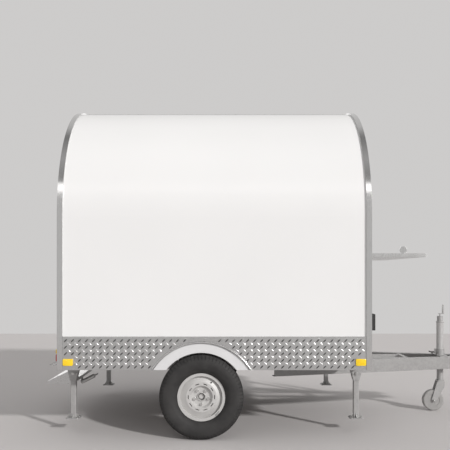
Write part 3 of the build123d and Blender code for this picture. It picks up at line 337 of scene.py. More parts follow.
def rounded(width, height, corner, steps=5):
    """Points round a rectangle with rounded corners, centred on its middle."""
    points = []
    for quarter, (u, v) in enumerate(((1, 1), (-1, 1), (-1, -1), (1, -1))):
        middle = (u * (width / 2 - corner), v * (height / 2 - corner))
        for i in range(steps + 1):
            angle = math.pi / 2 * (quarter + i / steps)
            points.append((middle[0] + corner * math.cos(angle), middle[1] + corner * math.sin(angle)))
    return points


def across(axis):
    """Two directions that make a right-handed set with the axis."""
    guide = X if abs(axis.dot(X)) < 0.9 else Z
    first = axis.cross(guide).normalized()
    return first, axis.cross(first)


def span(low, high, axes, less=0.0):
    """The size of a box along the axes, made smaller by a margin."""
    return tuple(high[i] - low[i] - less for i in axes)


def circle(middle, first, second, radius, steps, shift=0.0):
    """Points round a middle, in the plane of two directions."""
    angles = [2 * math.pi * (i + shift) / steps for i in range(steps)]
    return [middle + (first * math.cos(a) + second * math.sin(a)) * radius for a in angles]


class Solid:
    """Closed solids gathered in one mesh, placed in the trailer's own frame."""

    def __init__(self):
        self.mesh = bmesh.new()

    def loft(self, sections, loop=False, soft=0.0):
        """Skins closed sections with the same number of points. A loop joins the last to the first."""
        rings = [[self.mesh.verts.new(point) for point in section] for section in sections]
        pairs = list(zip(rings, rings[1:]))
        if loop:
            pairs.append((rings[-1], rings[0]))
        for one, two in pairs:
            for i, corner in enumerate(one):
                j = (i + 1) % len(one)
                self.mesh.faces.new((corner, one[j], two[j], two[i]))
        if not loop:
            ends = [self.mesh.faces.new(rings[0]), self.mesh.faces.new(rings[-1])]
            if soft:
                rims = list({edge for end in ends for edge in end.edges})
                bmesh.ops.bevel(self.mesh, geom=rims, offset=soft, segments=2, profile=0.5, affect="EDGES")

    def turn(self, profile, place, axis, steps=32, loop=False):
        """A turned shape from (distance along the axis, radius) points."""
        first, second = across(axis)
        self.loft([circle(place + axis * along, first, second, r, steps, 0.5) for along, r in profile], loop)

    def plate(self, place, u, v, size, thickness, corner, soft=0.0, steps=5):
        """A rounded plate standing on its place, with its width along u and its height along v."""
        out = u.cross(v)
        lower = [place + u * a + v * b for a, b in rounded(size[0], size[1], corner, steps)]
        self.loft([lower, [point + out * thickness for point in lower]], soft=soft)

    def band(self, place, u, v, size, width, thickness, corner):
        """A flat frame round a rounded rectangle, its outer edge on the rectangle."""
        out = u.cross(v)
        outer = rounded(size[0], size[1], corner)
        inner = rounded(size[0] - 2 * width, size[1] - 2 * width, max(corner - width, 0.0005))
        sections = []
        lip = 0.25 * thickness
        for (a, b), (c, d) in zip(outer, inner):
            outside = place + u * a + v * b
            inside = place + u * c + v * d
            inward = (inside - outside).normalized()
            sections.append([outside, outside + out * (thickness - lip),
                             outside + inward * lip + out * thickness,
                             inside - inward * lip + out * thickness,
                             inside + out * (thickness - lip), inside])
        self.loft(sections, loop=True)

    def bar(self, points, radius, steps=14):
        """A round bar through the points."""
        last = len(points) - 1
        first = across((points[1] - points[0]).normalized())[0]
        sections = []
        for i, point in enumerate(points):
            ahead = (points[min(i + 1, last)] - points[max(i - 1, 0)]).normalized()
            first = (first - ahead * first.dot(ahead)).normalized()
            sections.append(circle(point, first, ahead.cross(first), radius, steps))
        self.loft(sections)

    def make(self, name, finish, material=None, body="trailer", sharp=38.0):
        """Ends the mesh as a piece with the finish of a material slot, on a CAD body."""
        bmesh.ops.recalc_face_normals(self.mesh, faces=self.mesh.faces)
        for face in self.mesh.faces:
            face.smooth = True
        for edge in self.mesh.edges:
            edge.smooth = edge.calc_face_angle(0.0) < math.radians(sharp)
        data = bpy.data.meshes.new(name)
        self.mesh.to_mesh(data)
        self.mesh.free()
        data.materials.append(material or FINISH[finish])
        made = bpy.data.objects.new(name, data)
        SCENE.collection.objects.link(made)
        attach(made, body)
        return made


def rivet(solid, place, out, radius=0.005):
    """A low dome head."""
    rise = 0.5 * radius
    dome = [(-0.0005, radius), (0.4 * rise, 0.97 * radius), (0.8 * rise, 0.7 * radius), (rise, 0.3 * radius)]
    solid.turn(dome, place, out, steps=12)


def bolt(solid, place, out, flats, shank=0.0):
    """A hexagon head on its washer, with the end of a thread where a shank is given."""
    radius = flats / math.sqrt(3)
    washer = 0.09 * flats
    top = washer + 0.6 * flats
    edge = 0.06 * flats
    disc = [(-0.0004, 1.2 * radius), (washer - 0.0003, 1.2 * radius), (washer, 1.17 * radius)]
    solid.turn(disc, place, out, steps=24)
    head = [(washer - 0.0002, 0.97 * radius), (washer + edge, radius), (top - edge, radius),
            (top, 0.88 * radius)]
    solid.turn(head, place, out, steps=6)
    if shank:
        thread = 0.5 * radius
        tip = top + shank
        solid.turn([(top - 0.001, thread), (tip - 0.001, thread), (tip, 0.8 * thread)], place, out, steps=16)


# ---- Body outline across the trailer ----
OUTER_SHOULDER = 0.915
PANEL_Y = -PANEL_LOW.y
TRIM_PROUD = HALF_WIDTH - PANEL_Y
ROOF_Z = TRIM_HIGH.z - TRIM_PROUD
SHOULDER = OUTER_SHOULDER - TRIM_PROUD
SHOULDER_Y = PANEL_Y - SHOULDER
SHOULDER_Z = ROOF_Z - SHOULDER
EDGING_WIDTH = 0.026
EDGING_RISE = 0.0022
SUNK = 0.0004


def on_outline(side, angle, inset=0.0):
    """A point of the rounded shoulder and its outward direction, by degrees up from the side."""
    turn = math.radians(angle)
    out = Vector((0, side * math.cos(turn), math.sin(turn)))
    middle = Vector((0, side * SHOULDER_Y, SHOULDER_Z))
    return middle + out * (SHOULDER - inset), out


# ---- Raised tread pattern ----
LUG_LENGTH = 0.033
LUG_WIDTH = 0.0095
LUG_RISE = 0.0024
LUG_LEVELS = ((-0.0003, 1.0), (0.62 * LUG_RISE, 0.86), (LUG_RISE, 0.46))
HALF_STEP_ALONG = 0.0245
HALF_STEP_UP = 0.023


def lug(solid, middle, along, out):
    """One raised lug, a low dome with narrow ends."""
    side = out.cross(along)
    sections = []
    for height, share in LUG_LEVELS:
        ends = along * (0.5 * LUG_LENGTH * share)
        sides = side * (0.5 * LUG_WIDTH * share)
        sections.append(circle(middle + out * height, ends, sides, 1.0, 10))
    solid.loft(sections)


def tread(name, corner, along, up, size, keep=None):
    """Rows of lugs that lean one way and then the other, over a sheet from its corner. One lean takes painted
    shade, the other a painted highlight.
    """
    out = along.cross(up)
    leaning = ((along + up).normalized(), (along - up).normalized())
    solids = (Solid(), Solid())
    count = (int(size[0] / HALF_STEP_ALONG), int(size[1] / HALF_STEP_UP))
    rest = ((size[0] - count[0] * HALF_STEP_ALONG) / 2, (size[1] - count[1] * HALF_STEP_UP) / 2)
    for i in range(count[0] + 1):
        for j in range(count[1] + 1):
            place = corner + along * (rest[0] + i * HALF_STEP_ALONG) + up * (rest[1] + j * HALF_STEP_UP)
            if i % 2 == j % 2 and (keep is None or keep(place)):
                lug(solids[i % 2], place, leaning[i % 2], out)
    # Painted shade on the lugs that lean one way, painted highlight on those that lean the other.
    solids[0].make(name + "_rising_painted_shade", "tread_plate", PAINTED_SHADE_LUG)
    solids[1].make(name + "_falling_painted_highlight", "tread_plate", PAINTED_HIGHLIGHT_LUG)


ARCH_LOW, ARCH_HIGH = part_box("wheel_arch_beads")
ARCH_HALF = (ARCH_HIGH.x - ARCH_LOW.x) / 2
ARCH_RISE = ARCH_HIGH.z - ARCH_LOW.z
ARCH_RADIUS = (ARCH_HALF ** 2 + ARCH_RISE ** 2) / (2 * ARCH_RISE)
ARCH_MIDDLE = Vector(((ARCH_LOW.x + ARCH_HIGH.x) / 2, 0, ARCH_HIGH.z - ARCH_RADIUS))
DOOR_LOW, DOOR_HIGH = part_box("rear_door")
MARKERS = solids_of("side_markers")
LAMPS = solids_of("tail_lamps")
LUG_MARGIN = 0.014
SHEET_INSET = 0.012
STEP_INSET = 0.014
DOORWAY_MARGIN = (0.028, 0.03)
PLATE_SIZE = (0.305, 0.155)
PLATE_MIDDLE = Vector((0, 0.58, 0.605))
PLATE_HALF = Vector((0, PLATE_SIZE[0] / 2, PLATE_SIZE[1] / 2))


def clear_of(place, boxes, axes):
    """True where the place is clear of every box by the lugs' margin, along the two axes."""
    def within(low, high):
        return all(low[i] - LUG_MARGIN < place[i] < high[i] + LUG_MARGIN for i in axes)
    return not any(within(low, high) for low, high in boxes)


def skirt_treads():
    def keep(place):
        flat = Vector((place.x, 0, place.z))
        clear = (flat - ARCH_MIDDLE).length > ARCH_RADIUS + LUG_MARGIN
        return clear and clear_of(place, MARKERS, (0, 2))

    size = span(SKIRT_LOW, SKIRT_HIGH, (0, 2), 2 * SHEET_INSET)
    low = SKIRT_LOW.z + SHEET_INSET
    right = Vector((SKIRT_LOW.x + SHEET_INSET, -SKIRT_Y, low))
    left = Vector((SKIRT_HIGH.x - SHEET_INSET, SKIRT_Y, low))
    tread("right_skirt_tread", right, X, Z, size, keep)
    tread("left_skirt_tread", left, -X, Z, size, keep)


def apron_treads():
    def keep_rear(place):
        in_width = abs(place.y) < DOOR_HIGH.y + DOORWAY_MARGIN[0]
        in_doorway = in_width and place.z > DOOR_LOW.z - DOORWAY_MARGIN[1]
        plate = (PLATE_MIDDLE - PLATE_HALF, PLATE_MIDDLE + PLATE_HALF)
        return not in_doorway and clear_of(place, LAMPS + [plate], (1, 2))

    low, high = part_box("rear_apron")
    size = span(low, high, (1, 2), 2 * SHEET_INSET)
    corner = Vector((low.x, high.y - SHEET_INSET, low.z + SHEET_INSET))
    tread("rear_apron_tread", corner, -Y, Z, size, keep_rear)
    low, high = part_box("front_apron")
    corner = Vector((high.x, low.y + SHEET_INSET, low.z + SHEET_INSET))
    tread("front_apron_tread", corner, Y, Z, size)


def step_tread():
    low, high = max(solids_of("rear_step"), key=lambda box: box[1].y - box[0].y)
    size = (high.y - low.y - 2 * STEP_INSET, REAR_X - low.x - 2 * STEP_INSET)
    corner = Vector((low.x + STEP_INSET, high.y - STEP_INSET, high.z))
    tread("rear_step_tread", corner, -Y, X, size)


# ---- Wheels ----
TREAD_PITCHES = 68
PITCH_SHARES = ((0.0, 0.0), (0.4, 0.0), (0.76, 0.0), (0.81, 1.0), (0.95, 1.0))
TREAD_SKEW = 0.35
TREAD_START = 0.262
GROOVE_HALF = 0.0036
GROOVE_WALL = 0.0007
GROOVE_DEPTH = 0.007
GROOVES = (0.0145, 0.041)
FLANK_KNOTS = ((0.0365, 0.1545), (0.0378, 0.158), (0.0378, 0.1665), (0.0425, 0.1712), (0.0545, 0.1765),
               (0.065, 0.187), (0.0728, 0.2), (0.0782, 0.2145), (0.0812, 0.230), (0.0816, 0.2435),
               (0.0795, 0.2565), (0.0758, 0.267), (0.0712, 0.2755), (0.0655, 0.2822))
FLANK_RINGS = ((0.2035, 0.2075), (0.2615, 0.2655))
RING_RISE = 0.0009


def wheel_reach(turn):
    """The direction from the axle at an angle forwards from straight up."""
    return X * math.sin(turn) + Z * math.cos(turn)


def tyre_flank():
    """Half of the outside as (distance from the centre plane, radius), from bead to shoulder."""
    points = []
    for i, knot in enumerate(FLANK_KNOTS[:-1]):
        before = Vector(FLANK_KNOTS[max(i - 1, 0)])
        here = Vector(knot)
        after = Vector(FLANK_KNOTS[i + 1])
        beyond = Vector(FLANK_KNOTS[min(i + 2, len(FLANK_KNOTS) - 1)])
        bend = 2 * before - 5 * here + 4 * after - beyond
        twist = 3 * here - before - 3 * after + beyond
        for t in (0.0, 0.34, 0.67):
            points.append(0.5 * (2 * here + (after - before) * t + bend * t * t + twist * t ** 3))
    points.append(FLANK_KNOTS[-1])
    ribbed = []
    for y, r in points:
        ring = any(low < r < high for low, high in FLANK_RINGS)
        ribbed.append((y + (RING_RISE if ring else 0.0), r))
    return ribbed


def tyre_crown(height):
    """Half of the tread from the shoulder to the centre plane, with its two round grooves."""
    def radius(y):
        return height - 0.55 * y ** 2 - 2.2e3 * max(y - 0.02, 0) ** 4

    points = [(0.0605, 0.2862), (0.0555, radius(0.0555))]
    for groove in sorted(GROOVES, reverse=True):
        edge = groove + GROOVE_HALF
        far = groove - GROOVE_HALF
        floor = radius(groove) - GROOVE_DEPTH
        points += [(edge, radius(edge)), (edge - GROOVE_WALL, floor), (far + GROOVE_WALL, floor),
                   (far, radius(far))]
        if groove == max(GROOVES):
            points.append((0.0275, radius(0.0275)))
    points.append((0.005, radius(0.005)))
    return points


def sipe_depth(y):
    """How deep a slot is cut across the tread at a distance from the centre plane."""
    if abs(y) > 0.078 or abs(y) < 0.004:
        return 0.0
    if abs(y) > GROOVES[1] + GROOVE_HALF:
        return 0.0052
    if GROOVES[0] + GROOVE_HALF < abs(y) < GROOVES[1] - GROOVE_HALF:
        return 0.0035
    return 0.0


def tyre(side, node, body):
    """The whole tyre as one loop of sections, the same outline cut deeper where a sipe crosses."""
    half = tyre_flank() + tyre_crown(TYRE_RADIUS - 0.0006)
    bead = half[0]
    outline = half + [(-y, r) for y, r in reversed(half)]
    flank = [(bead[0] - 0.012, bead[1] + 0.003), (0.06, 0.215), (0.062, 0.255)]
    lining = [(-y, r) for y, r in flank] + [(0.0, 0.278)] + flank[::-1]
    middle = Vector((AXLE.x, side * TYRE_Y, AXLE.z))
    sections = []
    for pitch in range(TREAD_PITCHES):
        for share, cut in PITCH_SHARES:
            turn = 2 * math.pi * (pitch + share) / TREAD_PITCHES
            section = []
            for y, r in outline:
                on_tread = r > TREAD_START
                depth = cut * sipe_depth(y) if on_tread else 0.0
                skew = TREAD_SKEW * y if on_tread else 0.0
                section.append(middle + Y * side * y + wheel_reach(turn + skew) * (r - depth))
            section += [middle + Y * side * y + wheel_reach(turn) * r for y, r in lining]
            sections.append(section)
    solid = Solid()
    solid.loft(sections, loop=True)
    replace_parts(solid.make(node + "_tread", "tyre", body=body, sharp=32.0), node)


BOLT_CIRCLE = 0.051
DISC_FACE = 0.012
RIM_HALF = (RIM_HIGH.y - RIM_LOW.y) / 2
VALVE_CIRCLE = 0.123
VALVE_TURN = 0.6
VALVE_SUNK = 0.012
VALVE_PROFILE = ((0, 0.0065), (0.006, 0.006), (0.009, 0.0042), (0.024, 0.004), (0.0245, 0.0048),
                 (0.034, 0.0048), (0.0355, 0.004))
WEIGHT_START = 128
WEIGHT_STEP = 1.7
WEIGHT_PROFILE = ((0.005, -0.001), (0.004, 0.004), (-0.005, 0.0045), (-0.008, 0.001), (-0.008, -0.001))
SPIGOT_PROFILE = ((0.0005, 0.0255), (0.0025, 0.0262), (0.0035, 0.0275), (0.0025, 0.0292),
                  (-0.0005, 0.0298), (-0.0015, 0.0275))


def wheel_bolts(side, name):
    """Five wheel bolts on their seats, and the valve in its hole of the disc."""
    out = Y * side
    face = Vector((AXLE.x, side * (TYRE_Y + DISC_FACE), AXLE.z))
    bolts = Solid()
    for i in range(5):
        place = face + wheel_reach(math.radians(180 + 72 * i)) * BOLT_CIRCLE
        bolts.turn([(-0.0005, 0.0125), (0.003, 0.0118), (0.0045, 0.0105)], place, out, steps=24)
        bolt(bolts, place + out * 0.004, out, 0.0165)
    bolts.make(name + "_bolts", "trim_steel", BRIGHT_STEEL, body=name)
    valve = Solid()
    seat = face + wheel_reach(VALVE_TURN) * VALVE_CIRCLE - out * VALVE_SUNK
    valve.turn(VALVE_PROFILE, seat, out, steps=20)
    valve.make(name + "_valve", "black_plastic", body=name)


def wheel_weight_and_spigot(side, name):
    """A balance weight clipped on the rim's edge, and the rolled lip round the hub's grease cap."""
    out = Y * side
    weight = Solid()
    sections = []
    for i in range(9):
        reach = wheel_reach(math.radians(WEIGHT_START + WEIGHT_STEP * i))
        middle = Vector((AXLE.x, side * (TYRE_Y + RIM_HALF), AXLE.z)) + reach * (RIM_HIGH.z - AXLE.z - 0.006)
        sections.append([middle + reach * a + out * b for a, b in WEIGHT_PROFILE])
    weight.loft(sections, soft=0.0008)
    weight.make(name + "_balance_weight", "galvanised", body=name)
    cap = Solid()
    spigot = Vector((AXLE.x, side * max(abs(HUB_LOW.y), abs(HUB_HIGH.y)), AXLE.z))
    cap.turn(SPIGOT_PROFILE, spigot, out, steps=48, loop=True)
    cap.make(name + "_spigot_lip", "rim_paint", body=name)


LINING_SHEET = 0.002
LINING_GAP = 0.014
LINING_STEPS = 56
BEAD_INSIDE = 0.0155


def arc_points(middle_z, radius, bottom):
    """(x, z) points of an arch over the axle, from the front bottom to the rear bottom."""
    start = math.asin((bottom - middle_z) / radius)
    sweep = math.pi - 2 * start
    angles = [start + sweep * i / LINING_STEPS for i in range(LINING_STEPS + 1)]
    return [(AXLE.x + radius * math.cos(a), middle_z + radius * math.sin(a)) for a in angles]


def arch_lining(side, name):
    """A flat sheet just inside the arch's rolled edge, cut round the tyre."""
    bottom = ARCH_LOW.z + 0.0005
    skin = side * (SKIRT_Y - 0.0006)
    back = skin - side * LINING_SHEET
    outer = arc_points(ARCH_MIDDLE.z, ARCH_RADIUS - BEAD_INSIDE, bottom)
    inner = arc_points(AXLE.z, TYRE_RADIUS + LINING_GAP, bottom)
    rings = []
    for (x, z), (u, w) in zip(outer, inner):
        rings.append([Vector((x, skin, z)), Vector((x, back, z)), Vector((u, back, w)), Vector((u, skin, w))])
    solid = Solid()
    solid.loft(rings)
    solid.make(name, "tub_paint")


# ---- Edge trims and panel seams ----
TRIM_LEG = 0.022
TRIM_RIVET_STEP = 0.16
FIRST_RIVET = 0.04
ROOF_EDGE_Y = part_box("roof_panel")[1].y
ROOF_RIVETS = 27
SKIRT_SCREWS = 16


def trim_rivets():
    """Dome rivets through the end leg of each edge trim."""
    solid = Solid()
    inset = TRIM_LEG - TRIM_PROUD
    upright = int((SHOULDER_Z - TRIM_LOW.z) / TRIM_RIVET_STEP) + 1
    for face_x, out in ((TRIM_HIGH.x, X), (REAR_LOW.x, -X)):
        for side in (-1, 1):
            for i in range(upright):
                height = TRIM_LOW.z + FIRST_RIVET + i * TRIM_RIVET_STEP
                rivet(solid, Vector((face_x, side * (PANEL_Y - inset), height)), out)
            for i in range(9):
                place = on_outline(side, 5 + 10 * i, inset)[0]
                rivet(solid, Vector((face_x, place.y, place.z)), out)
    solid.make("edge_trim_rivets", "trim_steel", BRIGHT_STEEL)


def roof_seams():
    """A riveted cover strip over each long joint of the roof."""
    strips = Solid()
    rivets = Solid()
    angle = math.degrees(math.acos((ROOF_EDGE_Y - SHOULDER_Y) / SHOULDER))
    length = TRIM_LOW.x - REAR_HIGH.x - 0.004
    middle_x = (TRIM_LOW.x + REAR_HIGH.x) / 2
    for side in (-1, 1):
        seam, out = on_outline(side, angle)
        place = Vector((middle_x, seam.y, seam.z))
        tangent = out.cross(X)
        strips.plate(place - out * 0.0008, X, tangent, (length, 0.034), 0.0032, 0.003, soft=0.0008)
        for i in range(ROOF_RIVETS):
            for edge in (-0.011, 0.011):
                along = X * (length * ((i + 0.5) / ROOF_RIVETS - 0.5))
                rivet(rivets, place + along + tangent * edge + out * 0.0022, out, 0.0034)
    strips.make("roof_seam_strips", "trim_steel")
    rivets.make("roof_seam_rivets", "trim_steel", BRIGHT_STEEL)


def skirt_caps():
    """A folded cap along the top edge of each skirt, with its screws."""
    caps = Solid()
    screws = Solid()
    top = SKIRT_HIGH.z
    length = SKIRT_HIGH.x - SKIRT_LOW.x
    middle_x = (SKIRT_HIGH.x + SKIRT_LOW.x) / 2
    for side in (-1, 1):
        out = Y * side
        place = Vector((middle_x, side * (SKIRT_Y - 0.0028), top + 0.002))
        caps.plate(place, X * -side, Z, (length, 0.008), 0.0042, 0.002)
        for i in range(SKIRT_SCREWS):
            place_x = SKIRT_LOW.x + length * (i + 0.5) / SKIRT_SCREWS
            from_arch = Vector((place_x, 0, top - 0.012)) - ARCH_MIDDLE
            if from_arch.length > ARCH_RADIUS + 0.012:
                rivet(screws, Vector((place_x, side * SKIRT_Y, top - 0.0085)), out, 0.0032)
    caps.make("skirt_top_caps", "trim_steel")
    screws.make("skirt_screws", "trim_steel", BRIGHT_STEEL)


# ---- Hatches, door and window ----
HATCH_LOW, HATCH_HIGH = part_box("front_hatch")
SIDE_LOW, SIDE_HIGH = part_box("side_hatch")
GLASS_LOW, GLASS_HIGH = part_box("rear_door_glass")
HATCH_GAP = 0.0065
FRAME_WIDTH = 0.018
FRAME_ROOM = (0.05, 0.036)
LATCH_Y = 0.42
LATCH_UP = 0.065
LATCH_SHARES = (0.12, 0.88)
LATCH_PROUD = 0.0016
PULL_HALF = 0.065
PULL_UP = 0.07
PULL_HALF_ROUTE = ((0.0, 0.065), (0.018, 0.062), (0.024, 0.05))
PULL_REACH = 0.026
RAIL_END = 0.0115
SEAL_WIDTH = 0.019
SEAL_ROOM = 0.022
ROSE_Y = 0.028
LOCK_DROP = 0.022
LOCK_PROFILE = ((-0.0005, 0.0135), (0.004, 0.0135), (0.0055, 0.012), (0.0056, 0.0075), (0.0075, 0.0068))


def toggle_latch(solid, place, u, v):
    """A flat base with a folded lever, its length along v."""
    out = u.cross(v)
    solid.plate(place, u, v, (0.034, 0.078), 0.0025, 0.006, soft=0.0006)
    solid.plate(place + v * 0.004 + out * 0.0025, u, v, (0.022, 0.056), 0.007, 0.005, soft=0.002)
    pin = place + v * 0.028 + out * 0.006
    solid.bar([pin - u * 0.016, pin + u * 0.016], 0.0035)
    for end in (-0.033, 0.034):
        rivet(solid, place + v * end + out * 0.0025, out, 0.003)


def edging(name, middle, u, size):
    """A strip round the edge of a flat door or hatch."""
    strip = Solid()
    strip.band(middle, u, Z, size, EDGING_WIDTH, EDGING_RISE, 0.004)
    strip.make(name + "_edging", "trim_steel", body=name)


def front_hatch_edges():
    """The hatch's own edging, and the frame round it on the front wall."""
    size = span(HATCH_LOW, HATCH_HIGH, (1, 2))
    middle = Vector((HATCH_HIGH.x - SUNK, 0, (HATCH_LOW.z + HATCH_HIGH.z) / 2))
    edging("front_hatch", middle, Y, size)
    around = Solid()
    room = (size[0] + 2 * HATCH_GAP + FRAME_ROOM[0], size[1] + 2 * HATCH_GAP + FRAME_ROOM[1])
    around.band(middle, Y, Z, room, FRAME_WIDTH, 0.002, 0.006)
    around.make("front_hatch_frame", "trim_steel")


def front_hatch_fittings():
    """Two toggle latches and a pull handle on the hatch."""
    latches = Solid()
    for y in (-LATCH_Y, LATCH_Y):
        toggle_latch(latches, Vector((HATCH_HIGH.x + LATCH_PROUD, y, HATCH_LOW.z + LATCH_UP)), Y, Z)
    latches.make("front_hatch_latches", "trim_steel", BRIGHT_STEEL, body="front_hatch")
    handle = Solid()
    base = Vector((HATCH_HIGH.x + 0.001, 0, HATCH_LOW.z + PULL_UP))
    route = [base + X * x - Y * y for x, y in PULL_HALF_ROUTE] + [base + X * PULL_REACH]
    route += [base + X * x + Y * y for x, y in reversed(PULL_HALF_ROUTE)]
    handle.bar(route, 0.005)
    for y in (-PULL_HALF, PULL_HALF):
        handle.plate(base - X * 0.001 + Y * y, Y, Z, (0.03, 0.022), 0.004, 0.006, soft=0.001)
    handle.make("front_hatch_handle", "black_plastic", body="front_hatch")


def side_hatch_dress():
    """Edging strips that follow the curved hatch, and its two latches."""
    edge = Solid()
    top_angle = math.degrees(math.asin((SIDE_HIGH.z - SHOULDER_Z) / SHOULDER)) - 0.6
    upright = SHOULDER_Z - SIDE_LOW.z
    route = [(Vector((0, PANEL_Y, SIDE_LOW.z + upright * i / 6)), Y) for i in range(6)]
    route += [on_outline(1, top_angle * i / 22) for i in range(23)]
    rail_low, rail_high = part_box("side_hatch_rail")
    rear_x = rail_low.x + RAIL_END
    front_x = rail_high.x - RAIL_END
    for start, inward in ((rear_x, X), (front_x, -X)):
        sections = []
        for place, out in route:
            outer = Vector((start, place.y, place.z)) - out * SUNK
            inner = outer + inward * EDGING_WIDTH
            sections.append([outer, outer + out * EDGING_RISE, inner + out * EDGING_RISE, inner])
        edge.loft(sections)
    length = front_x - rear_x
    bottom = Vector(((rear_x + front_x) / 2, PANEL_Y - SUNK, SIDE_LOW.z + EDGING_WIDTH / 2))
    edge.plate(bottom, -X, Z, (length - 2 * EDGING_WIDTH, EDGING_WIDTH), EDGING_RISE, 0.0005)
    edge.make("side_hatch_edging", "trim_steel", body="side_hatch")
    latches = Solid()
    for share in LATCH_SHARES:
        place = Vector((rear_x + length * share, PANEL_Y + LATCH_PROUD, SIDE_LOW.z + LATCH_UP))
        toggle_latch(latches, place, -X, Z)
    latches.make("side_hatch_latches", "trim_steel", BRIGHT_STEEL, body="side_hatch")


def door_dress():
    """The door's edging, the window's rubber seal and the lock under the handle."""
    middle = Vector((DOOR_LOW.x + SUNK, 0, (DOOR_LOW.z + DOOR_HIGH.z) / 2))
    edging("rear_door", middle, -Y, span(DOOR_LOW, DOOR_HIGH, (1, 2)))
    middle = Vector((DOOR_LOW.x + 0.0005, 0, (GLASS_LOW.z + GLASS_HIGH.z) / 2))
    seal = Solid()
    seal.band(middle, -Y, Z, span(GLASS_LOW, GLASS_HIGH, (1, 2), -SEAL_ROOM), SEAL_WIDTH, 0.0045, 0.05)
    seal.make("rear_window_seal", "black_plastic", SEAL_RUBBER, body="rear_door")
    lock = Solid()
    handle_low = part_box("rear_door_handle")[0]
    barrel = Vector((DOOR_LOW.x, handle_low.y + ROSE_Y, handle_low.z - LOCK_DROP))
    lock.turn(LOCK_PROFILE, barrel, -X, steps=32)
    lock.make("rear_door_lock", "trim_steel", BRIGHT_STEEL, body="rear_door")


def door_hinge_screws():
    """Two screws through each leaf of the door hinges."""
    screws = Solid()
    for low, high in solids_of("rear_door_hinges"):
        for share in (0.2, 0.8):
            place_y = low.y + (high.y - low.y) * 0.25
            place_z = low.z + (high.z - low.z) * share
            rivet(screws, Vector((low.x + 0.0105, place_y, place_z)), -X, 0.0035)
    screws.make("door_hinge_screws", "trim_steel", BRIGHT_STEEL)


# ---- Lamps, markers, number plate and inlet ----
MARKER_RIBS = 8
LAMP_RIBS = 10
RIB_WIDTH = 0.0028
HOUSING_SHARE = 0.62
RED_SHARE = 0.62
LENS_SHARE = 0.36


def side_marker_lenses():
    """Amber lenses with moulded ribs, each on a grey base."""
    lenses = Solid()
    bases = Solid()
    for low, high in MARKERS:
        side = 1 if high.y > 0 else -1
        out = Y * side
        u = X * -side
        face = high.y if side > 0 else low.y
        depth = abs(face - side * SKIRT_Y)
        middle = Vector(((low.x + high.x) / 2, side * SKIRT_Y, (low.z + high.z) / 2))
        size = span(low, high, (0, 2))
        bases.plate(middle - out * 0.001, u, Z, size, 0.005, 0.005, soft=0.001)
        shape = span(low, high, (0, 2), 0.006)
        lenses.plate(middle + out * 0.0035, u, Z, shape, depth - 0.0048, 0.006, soft=0.003)
        for i in range(MARKER_RIBS):
            along = X * (size[0] - 0.022) * ((i + 0.5) / MARKER_RIBS - 0.5)
            rib = middle + out * (depth - 0.0025) + along
            lenses.plate(rib, u, Z, (RIB_WIDTH, size[1] - 0.02), 0.0021, 0.0012, soft=0.0006, steps=2)
    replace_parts(lenses.make("side_marker_lenses", "amber_lens"), "side_markers")
    bases.make("side_marker_bases", "black_plastic", GREY_PLASTIC)


def tail_lamp_lenses():
    """A black housing with a ribbed red lens below a smaller amber one."""
    red = Solid()
    amber = Solid()
    housings = Solid()
    for low, high in LAMPS:
        middle = Vector((high.x, (low.y + high.y) / 2, (low.z + high.z) / 2))
        depth, width, height = span(low, high, (0, 1, 2))
        housings.plate(middle, -Y, Z, (width, height), HOUSING_SHARE * depth, 0.01, soft=0.002)
        split = height * RED_SHARE
        lens_width = width - 0.006
        base = middle - X * 0.6 * depth
        lower = base - Z * (height - split) / 2
        upper = base + Z * split / 2
        thick = LENS_SHARE * depth
        red.plate(lower, -Y, Z, (lens_width, split - 0.005), thick, 0.006, soft=0.004)
        amber.plate(upper, -Y, Z, (lens_width, height - split - 0.004), thick, 0.006, soft=0.004)
        for i in range(LAMP_RIBS):
            along = Y * (lens_width - 0.02) * ((i + 0.5) / LAMP_RIBS - 0.5)
            rib = lower - X * 0.355 * depth + along
            red.plate(rib, -Y, Z, (RIB_WIDTH, split - 0.02), 0.0012, 0.0012, soft=0.0004, steps=2)
    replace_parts(red.make("tail_lamp_red_lenses", "red_lens"), "tail_lamps")
    amber.make("tail_lamp_amber_lenses", "amber_lens")
    housings.make("tail_lamp_housings", "black_plastic")


def number_plate():
    """A blank plate on a black carrier, with its small lamp above."""
    width, height = PLATE_SIZE
    carrier = Solid()
    place = Vector((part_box("rear_apron")[0].x + SUNK, PLATE_MIDDLE.y, PLATE_MIDDLE.z))
    carrier.plate(place, -Y, Z, PLATE_SIZE, 0.003, 0.01, soft=0.001)
    carrier.plate(place + Z * (height / 2 + 0.014), -Y, Z, (0.07, 0.02), 0.026, 0.005, soft=0.003)
    carrier.make("number_plate_carrier", "black_plastic")
    plate = Solid()
    face = place - X * 0.003
    plate.plate(face, -Y, Z, (width - 0.006, height - 0.006), 0.0012, 0.009, soft=0.0004)
    plate.band(face - X * 0.0011, -Y, Z, (width - 0.012, height - 0.012), 0.0022, 0.0007, 0.007)
    plate.make("number_plate_blank", "white_panel", PLATE_WHITE)


def inlet_flap():
    """Hinged flap, hinge barrel and corner screws of the power inlet."""
    low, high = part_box("power_inlet")
    middle = Vector((high.x, (low.y + high.y) / 2, (low.z + high.z) / 2))
    size = span(low, high, (1, 2))
    flap = Solid()
    flap.plate(middle - X * 0.004, Y, Z, (size[0] - 0.012, size[1] - 0.016), 0.0038, 0.012, soft=0.0015)
    barrel = Vector((middle.x - 0.006, middle.y, high.z - 0.005))
    flap.bar([barrel - Y * 0.03, barrel + Y * 0.03], 0.0045)
    flap.make("power_inlet_flap", "black_plastic")
    screws = Solid()
    for y in (-0.5, 0.5):
        for z in (-0.5, 0.5):
            seat = Vector((FRONT_X, middle.y + y * (size[0] + 0.024), middle.z + z * (size[1] - 0.03)))
            rivet(screws, seat, X, 0.0042)
    screws.make("power_inlet_screws", "trim_steel", BRIGHT_STEEL)


